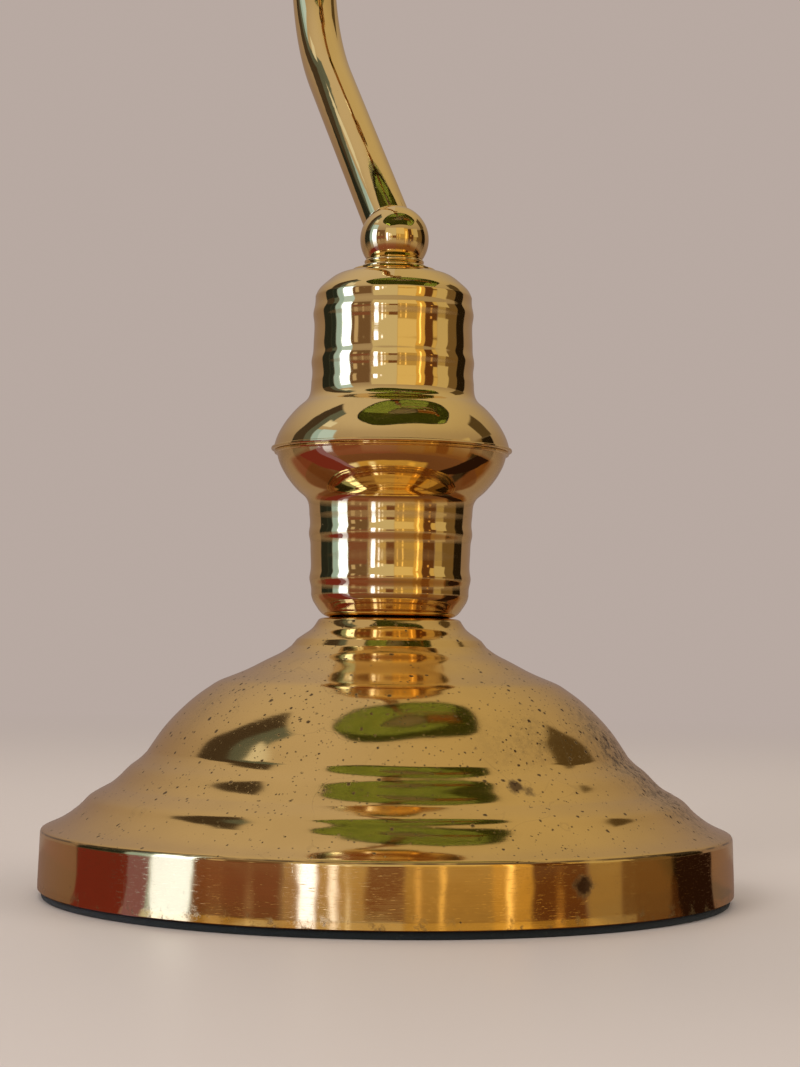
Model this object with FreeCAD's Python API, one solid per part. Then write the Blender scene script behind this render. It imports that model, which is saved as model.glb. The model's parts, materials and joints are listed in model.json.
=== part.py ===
import FreeCAD, Part
import math
import os

os.makedirs("parts", exist_ok=True)

# Every length is in millimetres. The origin is the middle of the underside,
# +Z is up, -Y is the side that the shade reaches over, X runs along the shade.
# Base
base_radius = 90.0
rim_draft = 0.4
rim_top_z = 17.0
rim_corner = 0.8
rim_foot_height = 2.0
base_top_z = 72.0
neck_radius = 19.0
neck_round = 1.4
base_wall = 1.2
felt_inset = 1.0
felt_thickness = 2.0
weight_inset = 8.0
weight_disc_height = 8.0
hub_radius = 26.0
hub_recess_radius = 20.0
hub_web_z = 36.0
hub_web_thickness = 8.0
hub_slot_width = 8.0
hub_slot_height = 12.0
weight_notch_width = 16.0
weight_notch_depth = 16.0
neck_spacer_radius = 8.0

# Threaded stem tube and its nuts
rod_radius = 5.0
rod_bore_radius = 3.2
rod_tail = 3.5
washer_radius = 12.0
washer_thickness = 1.5
nut_across_flats = 17.0
nut_height = 6.0
nut_sides = 6
cup_nut_height = 5.0

# Turned cups of the column
cup_radius = 21.5
cup_wall = 0.9
lower_cup_height = 44.0
lower_floor_radius = 15.5
lower_lip_radius = 31.0
upper_cup_height = 47.6
upper_floor_radius = 11.4
upper_lip_radius = 31.8
lip_flange = 1.0

# Swivel collar, coupler and ball
collar_top_above_cup = 3.6
collar_radius = 7.4
collar_bead = 0.5
collar_foot_radius = 11.2
collar_foot_thickness = 0.7
collar_lower_bead_radius = 8.5
collar_lower_bead_height = 1.4
collar_skirt_wall = 1.4
collar_skirt_length = 17.0
collar_cavity_room = 2.0
collar_cavity_height = 11.0
coupler_length = 7.5
coupler_engagement = 4.0
ball_radius = 9.1
spigot_radius = 5.0
spigot_length = 15.5
wireway_radius = 3.0
stub_gap = 0.35
stub_length = 17.0
clip_groove_depth = 0.6
clip_thickness = 0.9
clip_room = 0.4
clip_opening = 5.0
stop_pin_radius = 0.9
stop_pin_drop = 13.6
stop_tooth_width = 2.4
stop_tooth_gap = 0.7
stop_tooth_height = 3.2

# Bent arm tube
tube_radius = 6.35
tube_wall = 1.0
arm_setback = 62.0
arm_lean_deg = 41.0
arm_bend_radius = 62.0
arm_crook_radius = 36.0
arm_rise = 143.5
arm_nose = 6.0

# Tilt knuckle: fork, tongue, washers and screw
fork_web = 3.5
fork_reach = 7.5
fork_radius = 8.2
eye_radius = 7.5
tongue_eye_gap = 0.2
fork_gap = 8.0
tilt_washer_thickness = 0.8
tilt_washer_radius = 6.5
tilt_play = 0.05
tilt_screw_radius = 2.5
tilt_screw_tail = 2.0
tilt_knob_radius = 8.0
tilt_knob_length = 9.0
tilt_knob_gap = 0.2
tilt_knob_socket = 6.0
tilt_knob_chamfer = 1.0
grip_groove_radius = 1.1
grip_groove_count = 14

# Glass shade
shade_length = 222.0
shade_depth = 122.0
shade_height = 72.0
shade_wall = 3.0
shade_behind_pivot = 19.0
shade_drop = 33.7
shade_crown_setback = 8.0
shade_plan_power = 3.4
shade_end_power = 3.2
shade_side_power = 2.8
shade_section_count = 9
shade_plan_points = 36
shade_crown_share = 0.985

# Shade fixing on the tongue's stem
stem_radius = 5.0
stem_bore_radius = 3.0
shoulder_radius = 9.0
shoulder_thickness = 2.4
tongue_neck_width = 6.3
shade_hole_clearance = 0.5
gasket_radius = 12.0
gasket_room = 2.5
shade_cup_radius = 12.6
shade_cup_thickness = 2.0
inner_washer_radius = 12.0
inner_washer_thickness = 1.5
ring_nut_radius = 8.5
ring_nut_height = 4.0

# Strap bracket that carries the lampholder
strap_width = 12.0
strap_thickness = 1.5
strap_bend = 4.0
strap_tail = 9.0
bracket_nut_height = 3.5
bracket_nut_flats = 14.0
stem_tail = 2.0
holder_end_room = 24.5
strap_end = 9.0

# Lampholder and bulb, measured along their own axis from the strap
nipple_inside = 3.5
nipple_outside = 5.5
nipple_nut_height = 3.5
holder_cap_length = 20.0
holder_cap_radius = 14.0
holder_cap_end_radius = 9.0
holder_cap_wall = 0.7
holder_shell_length = 32.0
holder_shell_fit = 0.1
holder_shell_tuck = 4.0
holder_mouth_flare = 0.6
holder_mouth_length = 1.4
holder_core_start = 9.0
holder_core_length = 17.0
holder_core_step = 0.9
holder_sleeve_wall = 0.6
holder_liner_fit = 0.2
holder_liner_wall = 1.0
bulb_cap_radius = 6.9
bulb_cap_length = 19.0
bulb_cap_wall = 0.4
bulb_seat_gap = 2.2
contact_radius = 2.2
contact_height = 2.2
bulb_length = 104.0
bulb_radius = 17.5
bulb_neck_radius = 6.4
bulb_glass_wall = 0.8
bulb_glass_overlap = 4.0

# Rotary switch
switch_from_core = 3.5
switch_stem_radius = 2.0
switch_depth = 6.0
switch_drop = 26.0
switch_knob_length = 14.0
switch_knob_radius = 6.5
switch_socket = 8.0
switch_groove_radius = 0.8
switch_groove_count = 12

# Leads, bushing and terminal block
lead_radius = 2.3
lead_bend = 10.0
ball_lead_bend = 8.0
holder_lead_bend = 8.0
lead_end_gap = 0.4
lead_above_weight = 4.0
holder_lead_hole = 0.2
holder_lead_inset = 4.0
bushing_flange_step = 1.9
bushing_flange_thickness = 1.5
bushing_wall = 1.3
bushing_bore_radius = 3.3
bushing_length = 12.0
block_width = 18.0
block_length = 16.0
block_height = 12.0
block_from_centre = 38.0
block_screw_radius = 1.8
block_screw_head = 0.5
block_screw_depth = 6.0

# Clearances, and the overrun that cuts are given past a face
thread_clearance = 0.05
running_clearance = 0.05
hole_clearance = 0.3
overrun = 2.0

# Outline of the base, from the neck out to the rim, in shares of
# the width from neck to rim and of the height from rim to top
neck_cove_shares = ((0.0, 0.982), (0.017, 0.951), (0.047, 0.922), (0.074, 0.898))
foot_cove_shares = ((0.094, 0.866), (0.127, 0.836), (0.171, 0.807), (0.256, 0.751), (0.36, 0.696))
ring_bead_shares = ((0.36, 0.696), (0.377, 0.689), (0.387, 0.675))
shoulder_shares = ((0.387, 0.675), (0.429, 0.636), (0.504, 0.551), (0.563, 0.466),
                   (0.595, 0.407), (0.619, 0.36))
upper_ring_shares = ((0.619, 0.36), (0.649, 0.322), (0.677, 0.295), (0.712, 0.251), (0.742, 0.216),
                     (0.754, 0.205))
lower_ring_shares = ((0.754, 0.205), (0.805, 0.169), (0.83, 0.147), (0.85, 0.12), (0.871, 0.0945))
brim_shares = ((0.871, 0.0945), (0.901, 0.0655), (0.936, 0.038), (0.986, 0.009))
rim_corner_share = 0.3
neck_round_share = 0.3

# Outline of a cup, from its floor to its lip, in shares of its width and height
cup_corner_shares = ((0.0, 0.0), (0.42, 0.16), (0.74, 0.5), (0.92, 0.76), (1.0, 1.0))
cup_tube_shares = ((0.964, 0.142), (0.985, 0.248), (0.974, 0.36), (0.998, 0.55), (1.0, 0.63))
cup_flare_shares = ((0.0, 0.63), (0.04, 0.677), (0.12, 0.713), (0.41, 0.786), (0.644, 0.858),
                    (0.825, 0.928), (1.0, 1.0))

# Places of the strap and of the lead's turn between the shade's fixing and the lampholder
strap_rear_share = 0.3153
lead_turn_share = 0.6306

# Outline of the bulb's glass, in shares of its radius and its length
bulb_shares = ((0.62, 0.16), (0.98, 0.4), (1.0, 0.5), (0.9, 0.66), (0.56, 0.84), (0.2, 0.96))

# Outline of the switch knob's grip, in shares of its radius and its length
knob_shares = ((0.66, 0.0), (0.78, 0.3), (1.0, 0.62), (0.98, 0.86), (0.8, 1.0))

# Outline of the lampholder's domed cap, in shares of its width and its length
holder_cap_shares = ((0.0, 0.0), (0.62, 0.07), (0.9, 0.2), (1.0, 0.42))

# Sizes and places that follow from those sizes
rim_top_radius = base_radius - rim_draft
felt_radius = base_radius - felt_inset
weight_radius = base_radius - weight_inset
weight_top_z = felt_thickness + weight_disc_height
lead_z = weight_top_z + lead_above_weight
bushing_z = (felt_thickness + rim_top_z) / 2
bushing_body_radius = bushing_bore_radius + bushing_wall
bushing_flange_radius = bushing_body_radius + bushing_flange_step
collar_cavity_radius = spigot_radius + collar_cavity_room
collar_skirt_radius = collar_cavity_radius + collar_skirt_wall
clip_radius = collar_cavity_radius - clip_room
stub_radius = tube_radius - tube_wall - stub_gap
tongue_eye_radius = fork_reach - tongue_eye_gap
holder_shell_radius = holder_cap_radius - holder_cap_wall - holder_shell_fit
holder_mouth_radius = holder_shell_radius + holder_mouth_flare
holder_liner_radius = holder_shell_radius - holder_cap_wall - holder_liner_fit
holder_core_radius = holder_liner_radius - holder_core_step
holder_offset = shade_length / 2 - holder_end_room
switch_along = holder_core_start + switch_from_core
seam_z = base_top_z + lower_cup_height
column_top_z = seam_z + upper_cup_height
collar_top_z = column_top_z + collar_top_above_cup
skirt_bottom_z = column_top_z - collar_skirt_length
cavity_top_z = skirt_bottom_z + collar_cavity_height
ball_z = collar_top_z + running_clearance + math.sqrt(ball_radius ** 2 - collar_radius ** 2)
spigot_bottom_z = collar_top_z - spigot_length
coupler_top_z = skirt_bottom_z + coupler_engagement
rod_top_z = coupler_top_z - thread_clearance
rod_bottom_z = hub_web_z - washer_thickness - nut_height - rod_tail
arm_lean = math.radians(arm_lean_deg)
pivot_z = ball_z + arm_rise
tube_end_y = arm_setback - arm_crook_radius - arm_nose
fork_root_y = tube_end_y - fork_web
pivot_y = fork_root_y - fork_reach
fork_half_width = fork_radius
tongue_thickness = fork_gap - tilt_washer_thickness - tilt_washer_thickness - tilt_play - tilt_play
shade_rear_y = pivot_y - shade_behind_pivot
shade_centre_y = shade_rear_y - shade_depth / 2
shade_bottom_z = pivot_z - shade_drop
holder_y = shade_centre_y
sleeve_inner_radius = bulb_cap_radius + running_clearance
bulb_start = holder_core_start + holder_core_length + bulb_seat_gap
glass_start = bulb_start + bulb_cap_length - bulb_glass_overlap
glass_length = bulb_length - bulb_cap_length + bulb_glass_overlap

up = FreeCAD.Vector(0, 0, 1)
along_x = FreeCAD.Vector(1, 0, 0)
along_y = FreeCAD.Vector(0, 1, 0)
origin = FreeCAD.Vector(0, 0, 0)


# A point of a turned outline: radius and height
def at(radius, z):
    return FreeCAD.Vector(radius, 0, z)


def line(start, end):
    return Part.LineSegment(start, end).toShape()


def arc(start, middle, end):
    return Part.Arc(start, middle, end).toShape()


def curve(points):
    spline = Part.BSplineCurve()
    spline.interpolate(points)
    return spline.toShape()


def rod(radius, start, end):
    return Part.makeCylinder(radius, (end - start).Length, start, end - start)


def ring(outer_radius, inner_radius, start, end):
    reach = unit(end - start) * overrun
    return rod(outer_radius, start, end).cut(rod(inner_radius, start - reach, end + reach))


def block(x, y, z):
    return Part.makeBox(x[1] - x[0], y[1] - y[0], z[1] - z[0], FreeCAD.Vector(x[0], y[0], z[0]))


def unit(vector):
    return vector * (1 / vector.Length)


def hexagon(across_flats, bore_radius, start, end):
    heading = unit(end - start)
    across = along_x if heading.z else up
    turn = FreeCAD.Rotation(heading, 360 / nut_sides)
    arm = across * (across_flats / 2 / math.cos(math.pi / nut_sides))
    corners = [start + arm]
    for _ in range(nut_sides - 1):
        arm = turn.multVec(arm)
        corners.append(start + arm)
    face = Part.Face(Part.makePolygon(corners + corners[:1]))
    reach = heading * overrun
    return face.extrude(end - start).cut(rod(bore_radius, start - reach, end + reach))


# A full turn of closed edges about the vertical axis
def turned(edges):
    return Part.Face(Part.Wire(edges)).revolve(origin, up, 360)


# A turned sheet between its outer outline and the same outline drawn in by its wall
def spun(outline, wall):
    outer = outline(0)
    inner = outline(wall)
    last_cap = line(outer[-1].Vertexes[-1].Point, inner[-1].Vertexes[-1].Point)
    first_cap = line(inner[0].Vertexes[0].Point, outer[0].Vertexes[0].Point)
    return turned(outer + [last_cap] + inner[::-1] + [first_cap])


# Straight runs joined by tangent arcs, one bend radius for each inner corner
def routed(corners, bends):
    edges = []
    here = corners[0]
    for before, corner, after, bend in zip(corners, corners[1:], corners[2:], bends):
        back = unit(before - corner)
        ahead = unit(after - corner)
        half_turn = (math.pi - back.getAngle(ahead)) / 2
        first = corner + back * (bend * math.tan(half_turn))
        last = corner + ahead * (bend * math.tan(half_turn))
        middle = corner + unit(back + ahead) * (bend / math.cos(half_turn) - bend)
        edges += [line(here, first), arc(first, middle, last)]
        here = last
    edges.append(line(here, corners[-1]))
    return Part.Wire(edges)


def swept(path, radius):
    start = path.Edges[0]
    heading = start.tangentAt(start.FirstParameter)
    section = Part.Wire(Part.Circle(start.valueAt(start.FirstParameter), heading, radius).toShape())
    return path.makePipeShell([section], True, False)


def grooved(shape, radius, groove_radius, count, low_z, high_z):
    for index in range(count):
        angle = 2 * math.pi * index / count
        foot = FreeCAD.Vector(radius * math.cos(angle), radius * math.sin(angle), low_z)
        shape = shape.cut(Part.makeCylinder(groove_radius, high_z - low_z, foot))
    return shape


# Base
def base_outline(inset):
    drawn_in = at(inset, inset)
    width = rim_top_radius - neck_radius
    height = base_top_z - rim_top_z

    def stretch(shares):
        return [at(neck_radius + share[0] * width, rim_top_z + share[1] * height) - drawn_in
                for share in shares]

    neck_cove = stretch(neck_cove_shares)
    foot_cove = stretch(foot_cove_shares)
    brim = stretch(brim_shares)
    round_in = neck_round * neck_round_share
    neck_edge = at(neck_radius - neck_round, base_top_z) - drawn_in
    neck_mid = at(neck_radius - round_in, base_top_z - round_in) - drawn_in
    rim_side = at(rim_top_radius, rim_top_z - rim_corner) - drawn_in
    rim_mid = at(rim_top_radius - rim_corner * rim_corner_share, rim_top_z) - drawn_in
    foot = at(base_radius - inset, felt_thickness + rim_foot_height)
    edges = [line(at(rod_radius + hole_clearance, base_top_z - inset), neck_edge),
             arc(neck_edge, neck_mid, neck_cove[0]), curve(neck_cove),
             line(neck_cove[-1], foot_cove[0]), curve(foot_cove)]
    edges += [curve(stretch(shares))
              for shares in (ring_bead_shares, shoulder_shares, upper_ring_shares, lower_ring_shares)]
    return edges + [curve(brim), arc(brim[-1], rim_mid, rim_side), line(rim_side, foot),
                    line(foot, at(base_radius - inset, felt_thickness))]


def bushing_axis(y):
    return FreeCAD.Vector(0, y, bushing_z)


def base_shell():
    hole = rod(bushing_body_radius + thread_clearance, bushing_axis(weight_radius),
               bushing_axis(base_radius + overrun))
    return spun(base_outline, base_wall).cut(hole)


def felt_pad():
    return Part.makeCylinder(felt_radius, felt_thickness)


def base_weight():
    top = hub_web_z + hub_web_thickness
    body = rod(weight_radius, at(0, felt_thickness), at(0, weight_top_z))
    body = body.fuse(rod(hub_radius, at(0, felt_thickness), at(0, top)))
    body = body.cut(rod(hub_recess_radius, at(0, felt_thickness - overrun), at(0, hub_web_z)))
    body = body.cut(rod(rod_radius + hole_clearance, at(0, 0), at(0, top + overrun)))
    half_slot = hub_slot_width / 2
    low_slot = lead_z - hub_slot_height / 2
    slot = block((-half_slot, half_slot), (0, hub_radius + overrun), (low_slot, low_slot + hub_slot_height))
    half_notch = weight_notch_width / 2
    notch = block((-half_notch, half_notch), (weight_radius - weight_notch_depth, weight_radius + overrun),
                  (0, weight_top_z + overrun))
    return body.cut(slot).cut(notch)


def base_washer():
    return ring(washer_radius, rod_radius + thread_clearance,
                at(0, hub_web_z - washer_thickness), at(0, hub_web_z))


def base_nut():
    top = hub_web_z - washer_thickness
    return hexagon(nut_across_flats, rod_radius + thread_clearance, at(0, top - nut_height), at(0, top))


def neck_spacer():
    return ring(neck_spacer_radius, rod_radius + thread_clearance,
                at(0, hub_web_z + hub_web_thickness), at(0, base_top_z - base_wall))


def stem_rod():
    return ring(rod_radius, rod_bore_radius, at(0, rod_bottom_z), at(0, rod_top_z))


def cord_bushing():
    outer = bushing_axis(base_radius + bushing_flange_thickness)
    wall_face = bushing_axis(base_radius)
    inner = bushing_axis(base_radius + bushing_flange_thickness - bushing_length)
    body = rod(bushing_body_radius, inner, wall_face).fuse(rod(bushing_flange_radius, wall_face, outer))
    reach = along_y * overrun
    return body.cut(rod(bushing_bore_radius, inner - reach, outer + reach))


def screw_places():
    middle = block_from_centre + block_length / 2
    offset = block_width / 4
    return [FreeCAD.Vector(side * offset, middle, weight_top_z + block_height) for side in (-1, 1)]


def terminal_block():
    half = block_width / 2
    body = block((-half, half), (block_from_centre, block_from_centre + block_length),
                 (weight_top_z, weight_top_z + block_height))
    for place in screw_places():
        body = body.cut(rod(block_screw_radius, place - up * block_screw_depth, place + up * overrun))
    return body


def terminal_screws():
    screws = [rod(block_screw_radius, place - up * block_screw_depth, place + up * block_screw_head)
              for place in screw_places()]
    return Part.makeCompound(screws)


def base_lead():
    corners = [FreeCAD.Vector(0, block_from_centre, lead_z), FreeCAD.Vector(0, 0, lead_z),
               at(0, spigot_bottom_z - lead_end_gap)]
    return swept(routed(corners, [lead_bend]), lead_radius)


# Column. The lower cup stands on its floor and the upper one hangs from it: side is 1 or -1
def cup(floor_z, side, height, floor_radius, lip_radius, hole_radius):
    reach = height - cup_wall
    flare_end = lip_radius - lip_flange
    tube_start = cup_tube_shares[0][0] * cup_radius
    corner_width = tube_start - floor_radius

    def outline(inset):
        def spot(radius, above):
            return at(radius - inset, floor_z + side * (above + inset))

        corner = [spot(floor_radius + share[0] * corner_width, share[1] * cup_tube_shares[0][1] * reach)
                  for share in cup_corner_shares]
        tube = [spot(share[0] * cup_radius, share[1] * reach) for share in cup_tube_shares]
        flare = [spot(cup_radius + share[0] * (flare_end - cup_radius), share[1] * reach)
                 for share in cup_flare_shares]
        floor_edge = at(hole_radius, corner[0].z)
        return [line(floor_edge, corner[0]), curve(corner), curve(tube), curve(flare),
                line(flare[-1], at(lip_radius, flare[-1].z))]

    return spun(outline, cup_wall)


def lower_cup():
    return cup(base_top_z, 1, lower_cup_height, lower_floor_radius, lower_lip_radius,
               rod_radius + hole_clearance)


def upper_cup():
    return cup(column_top_z, -1, upper_cup_height, upper_floor_radius, upper_lip_radius,
               collar_skirt_radius + hole_clearance)


def cup_washer():
    floor = base_top_z + cup_wall
    return ring(washer_radius, rod_radius + thread_clearance, at(0, floor), at(0, floor + washer_thickness))


def cup_nut():
    low = base_top_z + cup_wall + washer_thickness
    return hexagon(nut_across_flats, rod_radius + thread_clearance, at(0, low), at(0, low + cup_nut_height))


def swivel_collar():
    bore = spigot_radius + running_clearance
    bead_z = column_top_z + collar_foot_thickness + collar_lower_bead_height
    foot_z = column_top_z + collar_foot_thickness
    foot = at(collar_foot_radius, column_top_z)
    foot_top = at(collar_lower_bead_radius, foot_z)
    bead_mid = at(collar_lower_bead_radius + collar_bead / 2, (foot_z + bead_z) / 2)
    waist = at(collar_radius, bead_z)
    upper_mid = at(collar_radius + collar_bead, (bead_z + collar_top_z) / 2)
    top = at(collar_radius, collar_top_z)
    skirt_top = at(collar_skirt_radius, column_top_z)
    skirt_low = at(collar_skirt_radius, skirt_bottom_z)
    cavity_low = at(collar_cavity_radius, skirt_bottom_z)
    cavity_high = at(collar_cavity_radius, cavity_top_z)
    bore_low = at(bore, cavity_top_z)
    bore_high = at(bore, collar_top_z)
    edges = [line(foot, foot_top), arc(foot_top, bead_mid, waist), arc(waist, upper_mid, top),
             line(top, bore_high), line(bore_high, bore_low), line(bore_low, cavity_high),
             line(cavity_high, cavity_low), line(cavity_low, skirt_low), line(skirt_low, skirt_top),
             line(skirt_top, foot)]
    tooth_z = pin_z() - stop_tooth_height / 2
    half = stop_tooth_width / 2
    inner = spigot_radius + stop_tooth_gap
    wall_mid = (collar_cavity_radius + collar_skirt_radius) / 2
    tooth = block((-half, half), (-wall_mid, -inner), (tooth_z, tooth_z + stop_tooth_height))
    return turned(edges).fuse(tooth)


def rod_coupler():
    low = coupler_top_z - coupler_length
    body = rod(collar_skirt_radius, at(0, low), at(0, skirt_bottom_z))
    body = body.fuse(rod(collar_cavity_radius - thread_clearance, at(0, skirt_bottom_z),
                         at(0, coupler_top_z)))
    return body.cut(rod(rod_radius + thread_clearance, at(0, low - overrun), at(0, coupler_top_z + overrun)))


# Arm
def pin_z():
    return collar_top_z - stop_pin_drop


def groove_z():
    return cavity_top_z - running_clearance - clip_thickness


def ball_centre():
    return at(0, ball_z)


def arm_heading():
    return FreeCAD.Vector(0, math.sin(arm_lean), math.cos(arm_lean))


def arm_knee():
    return FreeCAD.Vector(0, arm_setback, ball_z + arm_setback / math.tan(arm_lean))


def arm_crook():
    return FreeCAD.Vector(0, arm_setback, pivot_z)


def arm_path(start, end_y):
    corners = [start, arm_knee(), arm_crook(), FreeCAD.Vector(0, end_y, pivot_z)]
    return routed(corners, [arm_bend_radius, arm_crook_radius])


def swivel_ball():
    seat = collar_top_z + running_clearance
    body = Part.makeSphere(ball_radius, ball_centre())
    body = body.common(rod(ball_radius + overrun, at(0, seat), at(0, ball_z + ball_radius + overrun)))
    body = body.fuse(rod(spigot_radius, at(0, spigot_bottom_z), at(0, ball_z)))
    body = body.fuse(rod(stub_radius, ball_centre(), ball_centre() + arm_heading() * stub_length))
    wireway_end = ball_centre() + arm_heading() * (stub_length + overrun)
    body = body.cut(rod(wireway_radius, at(0, spigot_bottom_z - overrun), ball_centre()))
    body = body.cut(rod(wireway_radius, ball_centre(), wireway_end))
    body = body.cut(Part.makeSphere(wireway_radius, ball_centre()))
    groove = ring(spigot_radius + overrun, spigot_radius - clip_groove_depth, at(0, groove_z()),
                  at(0, groove_z() + clip_thickness))
    pin_hole = rod(stop_pin_radius, FreeCAD.Vector(0, wireway_radius / 2, pin_z()),
                   FreeCAD.Vector(0, clip_radius, pin_z()))
    return body.cut(groove).cut(pin_hole)


def swivel_clip():
    low = groove_z()
    body = ring(clip_radius, spigot_radius - clip_groove_depth, at(0, low), at(0, low + clip_thickness))
    half = clip_opening / 2
    return body.cut(block((-half, half), (-clip_radius - overrun, 0), (low - overrun, low + overrun)))


def swivel_stop_pin():
    body = rod(stop_pin_radius, FreeCAD.Vector(0, wireway_radius / 2, pin_z()),
               FreeCAD.Vector(0, clip_radius, pin_z()))
    return body.cut(rod(wireway_radius, at(0, spigot_bottom_z), ball_centre()))


def arm_tube():
    outer = swept(arm_path(ball_centre(), tube_end_y), tube_radius)
    inner = swept(arm_path(ball_centre(), tube_end_y), tube_radius - tube_wall)
    return outer.cut(inner).cut(Part.makeSphere(ball_radius, ball_centre()))


def arm_lead():
    corners = [at(0, spigot_bottom_z), ball_centre(), arm_knee(), arm_crook(),
               FreeCAD.Vector(0, fork_root_y + running_clearance, pivot_z)]
    return swept(routed(corners, [ball_lead_bend, arm_bend_radius, arm_crook_radius]), lead_radius)


# Tilt knuckle
def pivot(x, y_offset=0):
    return FreeCAD.Vector(x, pivot_y + y_offset, pivot_z)


def tilt_fork():
    socket_y = tube_end_y + arm_nose
    reach = along_y * overrun
    body = rod(fork_radius, pivot(0, fork_reach), FreeCAD.Vector(0, socket_y, pivot_z))
    ears = block((-fork_half_width, fork_half_width), (pivot_y, fork_root_y + fork_web / 2),
                 (pivot_z - eye_radius, pivot_z + eye_radius))
    ears = ears.fuse(rod(eye_radius, pivot(-fork_half_width), pivot(fork_half_width)))
    ears = ears.common(rod(fork_radius, pivot(0, -eye_radius), pivot(0, fork_reach + fork_web)))
    body = body.fuse(ears)
    body = body.cut(block((-fork_gap / 2, fork_gap / 2), (pivot_y - eye_radius - overrun, fork_root_y),
                          (pivot_z - fork_radius - overrun, pivot_z + fork_radius + overrun)))
    body = body.cut(rod(tube_radius + thread_clearance, FreeCAD.Vector(0, tube_end_y, pivot_z),
                        FreeCAD.Vector(0, socket_y, pivot_z) + reach))
    body = body.cut(rod(wireway_radius, pivot(0), FreeCAD.Vector(0, socket_y, pivot_z)))
    return body.cut(rod(tilt_screw_radius + running_clearance, pivot(-fork_half_width - overrun),
                        pivot(fork_half_width + overrun)))


def tongue_shoulder_y():
    return pivot_y - shade_behind_pivot + gasket_room + shade_cup_thickness


def tilt_tongue():
    half = tongue_thickness / 2
    seat = tongue_shoulder_y()
    shoulder = rod(shoulder_radius, FreeCAD.Vector(0, seat + shoulder_thickness, pivot_z),
                   FreeCAD.Vector(0, seat, pivot_z))
    neck = block((-half, half), (seat, pivot_y),
                 (pivot_z - tongue_neck_width / 2, pivot_z + tongue_neck_width / 2))
    eye = rod(tongue_eye_radius, pivot(-half), pivot(half))
    stem = rod(stem_radius, FreeCAD.Vector(0, seat, pivot_z), FreeCAD.Vector(0, stem_end_y(), pivot_z))
    body = shoulder.fuse(neck).fuse(eye).fuse(stem)
    body = body.cut(rod(stem_bore_radius, FreeCAD.Vector(0, seat + shoulder_thickness, pivot_z),
                        FreeCAD.Vector(0, stem_end_y() - overrun, pivot_z)))
    return body.cut(rod(tilt_screw_radius + running_clearance, pivot(-half - overrun), pivot(half + overrun)))


def tilt_washers():
    half = tongue_thickness / 2
    outside = half + tilt_washer_thickness
    bore = tilt_screw_radius + running_clearance
    washers = [ring(tilt_washer_radius, bore, pivot(side * half), pivot(side * outside))
               for side in (-1, 1)]
    return Part.makeCompound(washers)


def tilt_screw():
    return rod(tilt_screw_radius, pivot(-fork_half_width - tilt_screw_tail),
               pivot(fork_half_width + tilt_knob_gap + tilt_knob_socket))


def tilt_knob():
    body = Part.makeCylinder(tilt_knob_radius, tilt_knob_length)
    body = body.makeChamfer(tilt_knob_chamfer, [body.Edges[0], body.Edges[2]])
    body = grooved(body, tilt_knob_radius + grip_groove_radius / 2, grip_groove_radius, grip_groove_count,
                   -overrun, tilt_knob_length + overrun)
    body.Placement = FreeCAD.Placement(pivot(fork_half_width + tilt_knob_gap), FreeCAD.Rotation(along_y, 90))
    return body.cut(tilt_screw())


# Shade
def shade_section(half_length, half_depth, centre_y, z):
    points = []
    for index in range(shade_plan_points):
        angle = 2 * math.pi * index / shade_plan_points
        across = math.copysign(abs(math.cos(angle)) ** (2 / shade_plan_power), math.cos(angle))
        deep = math.copysign(abs(math.sin(angle)) ** (2 / shade_plan_power), math.sin(angle))
        points.append(FreeCAD.Vector(half_length * across, centre_y + half_depth * deep, z))
    spline = Part.BSplineCurve()
    spline.interpolate(Points=points, PeriodicFlag=True)
    return Part.Wire(spline.toShape())


def shade_form(inset, drop):
    half_length = shade_length / 2 - inset
    half_depth = shade_depth / 2 - inset
    height = shade_height - inset
    wires = []
    if drop > 0:
        wires.append(shade_section(half_length, half_depth, shade_centre_y, shade_bottom_z - drop))
    for index in range(shade_section_count):
        swing = math.asin(shade_crown_share) * index / (shade_section_count - 1)
        rise = math.sin(swing)
        length_share = (1 - rise ** shade_end_power) ** (1 / shade_end_power)
        depth_share = (1 - rise ** shade_side_power) ** (1 / shade_side_power)
        wires.append(shade_section(half_length * length_share, half_depth * depth_share,
                                   shade_centre_y + shade_crown_setback * rise,
                                   shade_bottom_z + height * rise))
    return Part.makeLoft(wires, True, False)


def shade_axis(y):
    return FreeCAD.Vector(0, y, pivot_z)


def shade_glass():
    hole = rod(stem_radius + shade_hole_clearance, shade_axis(pivot_y), shade_axis(shade_centre_y))
    return shade_form(0, 0).cut(shade_form(shade_wall, overrun)).cut(hole)


def gasket_outer_y():
    return tongue_shoulder_y() - shade_cup_thickness


def gasket_inner_y():
    return shade_rear_y - shade_wall - gasket_room


def shade_gaskets():
    bore = stem_radius + thread_clearance
    outside = ring(gasket_radius, bore, shade_axis(gasket_outer_y()), shade_axis(shade_rear_y - shade_wall))
    inside = ring(gasket_radius, bore, shade_axis(gasket_inner_y()), shade_axis(shade_rear_y))
    return Part.makeCompound([outside.cut(shade_form(0, 0)), inside.common(shade_form(shade_wall, overrun))])


def shade_cup():
    return ring(shade_cup_radius, stem_radius + thread_clearance, shade_axis(gasket_outer_y()),
                shade_axis(tongue_shoulder_y()))


def shade_inner_washer():
    return ring(inner_washer_radius, stem_radius + thread_clearance, shade_axis(gasket_inner_y()),
                shade_axis(gasket_inner_y() - inner_washer_thickness))


def ring_nut_y():
    return gasket_inner_y() - inner_washer_thickness


def shade_ring_nut():
    return ring(ring_nut_radius, stem_radius + thread_clearance, shade_axis(ring_nut_y()),
                shade_axis(ring_nut_y() - ring_nut_height))


# Strap bracket
def toward_holder(share):
    return gasket_inner_y() + (holder_y - gasket_inner_y()) * share


def strap_rear_y():
    return toward_holder(strap_rear_share)


def stem_end_y():
    return strap_rear_y() - strap_thickness - bracket_nut_height - stem_tail


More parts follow.
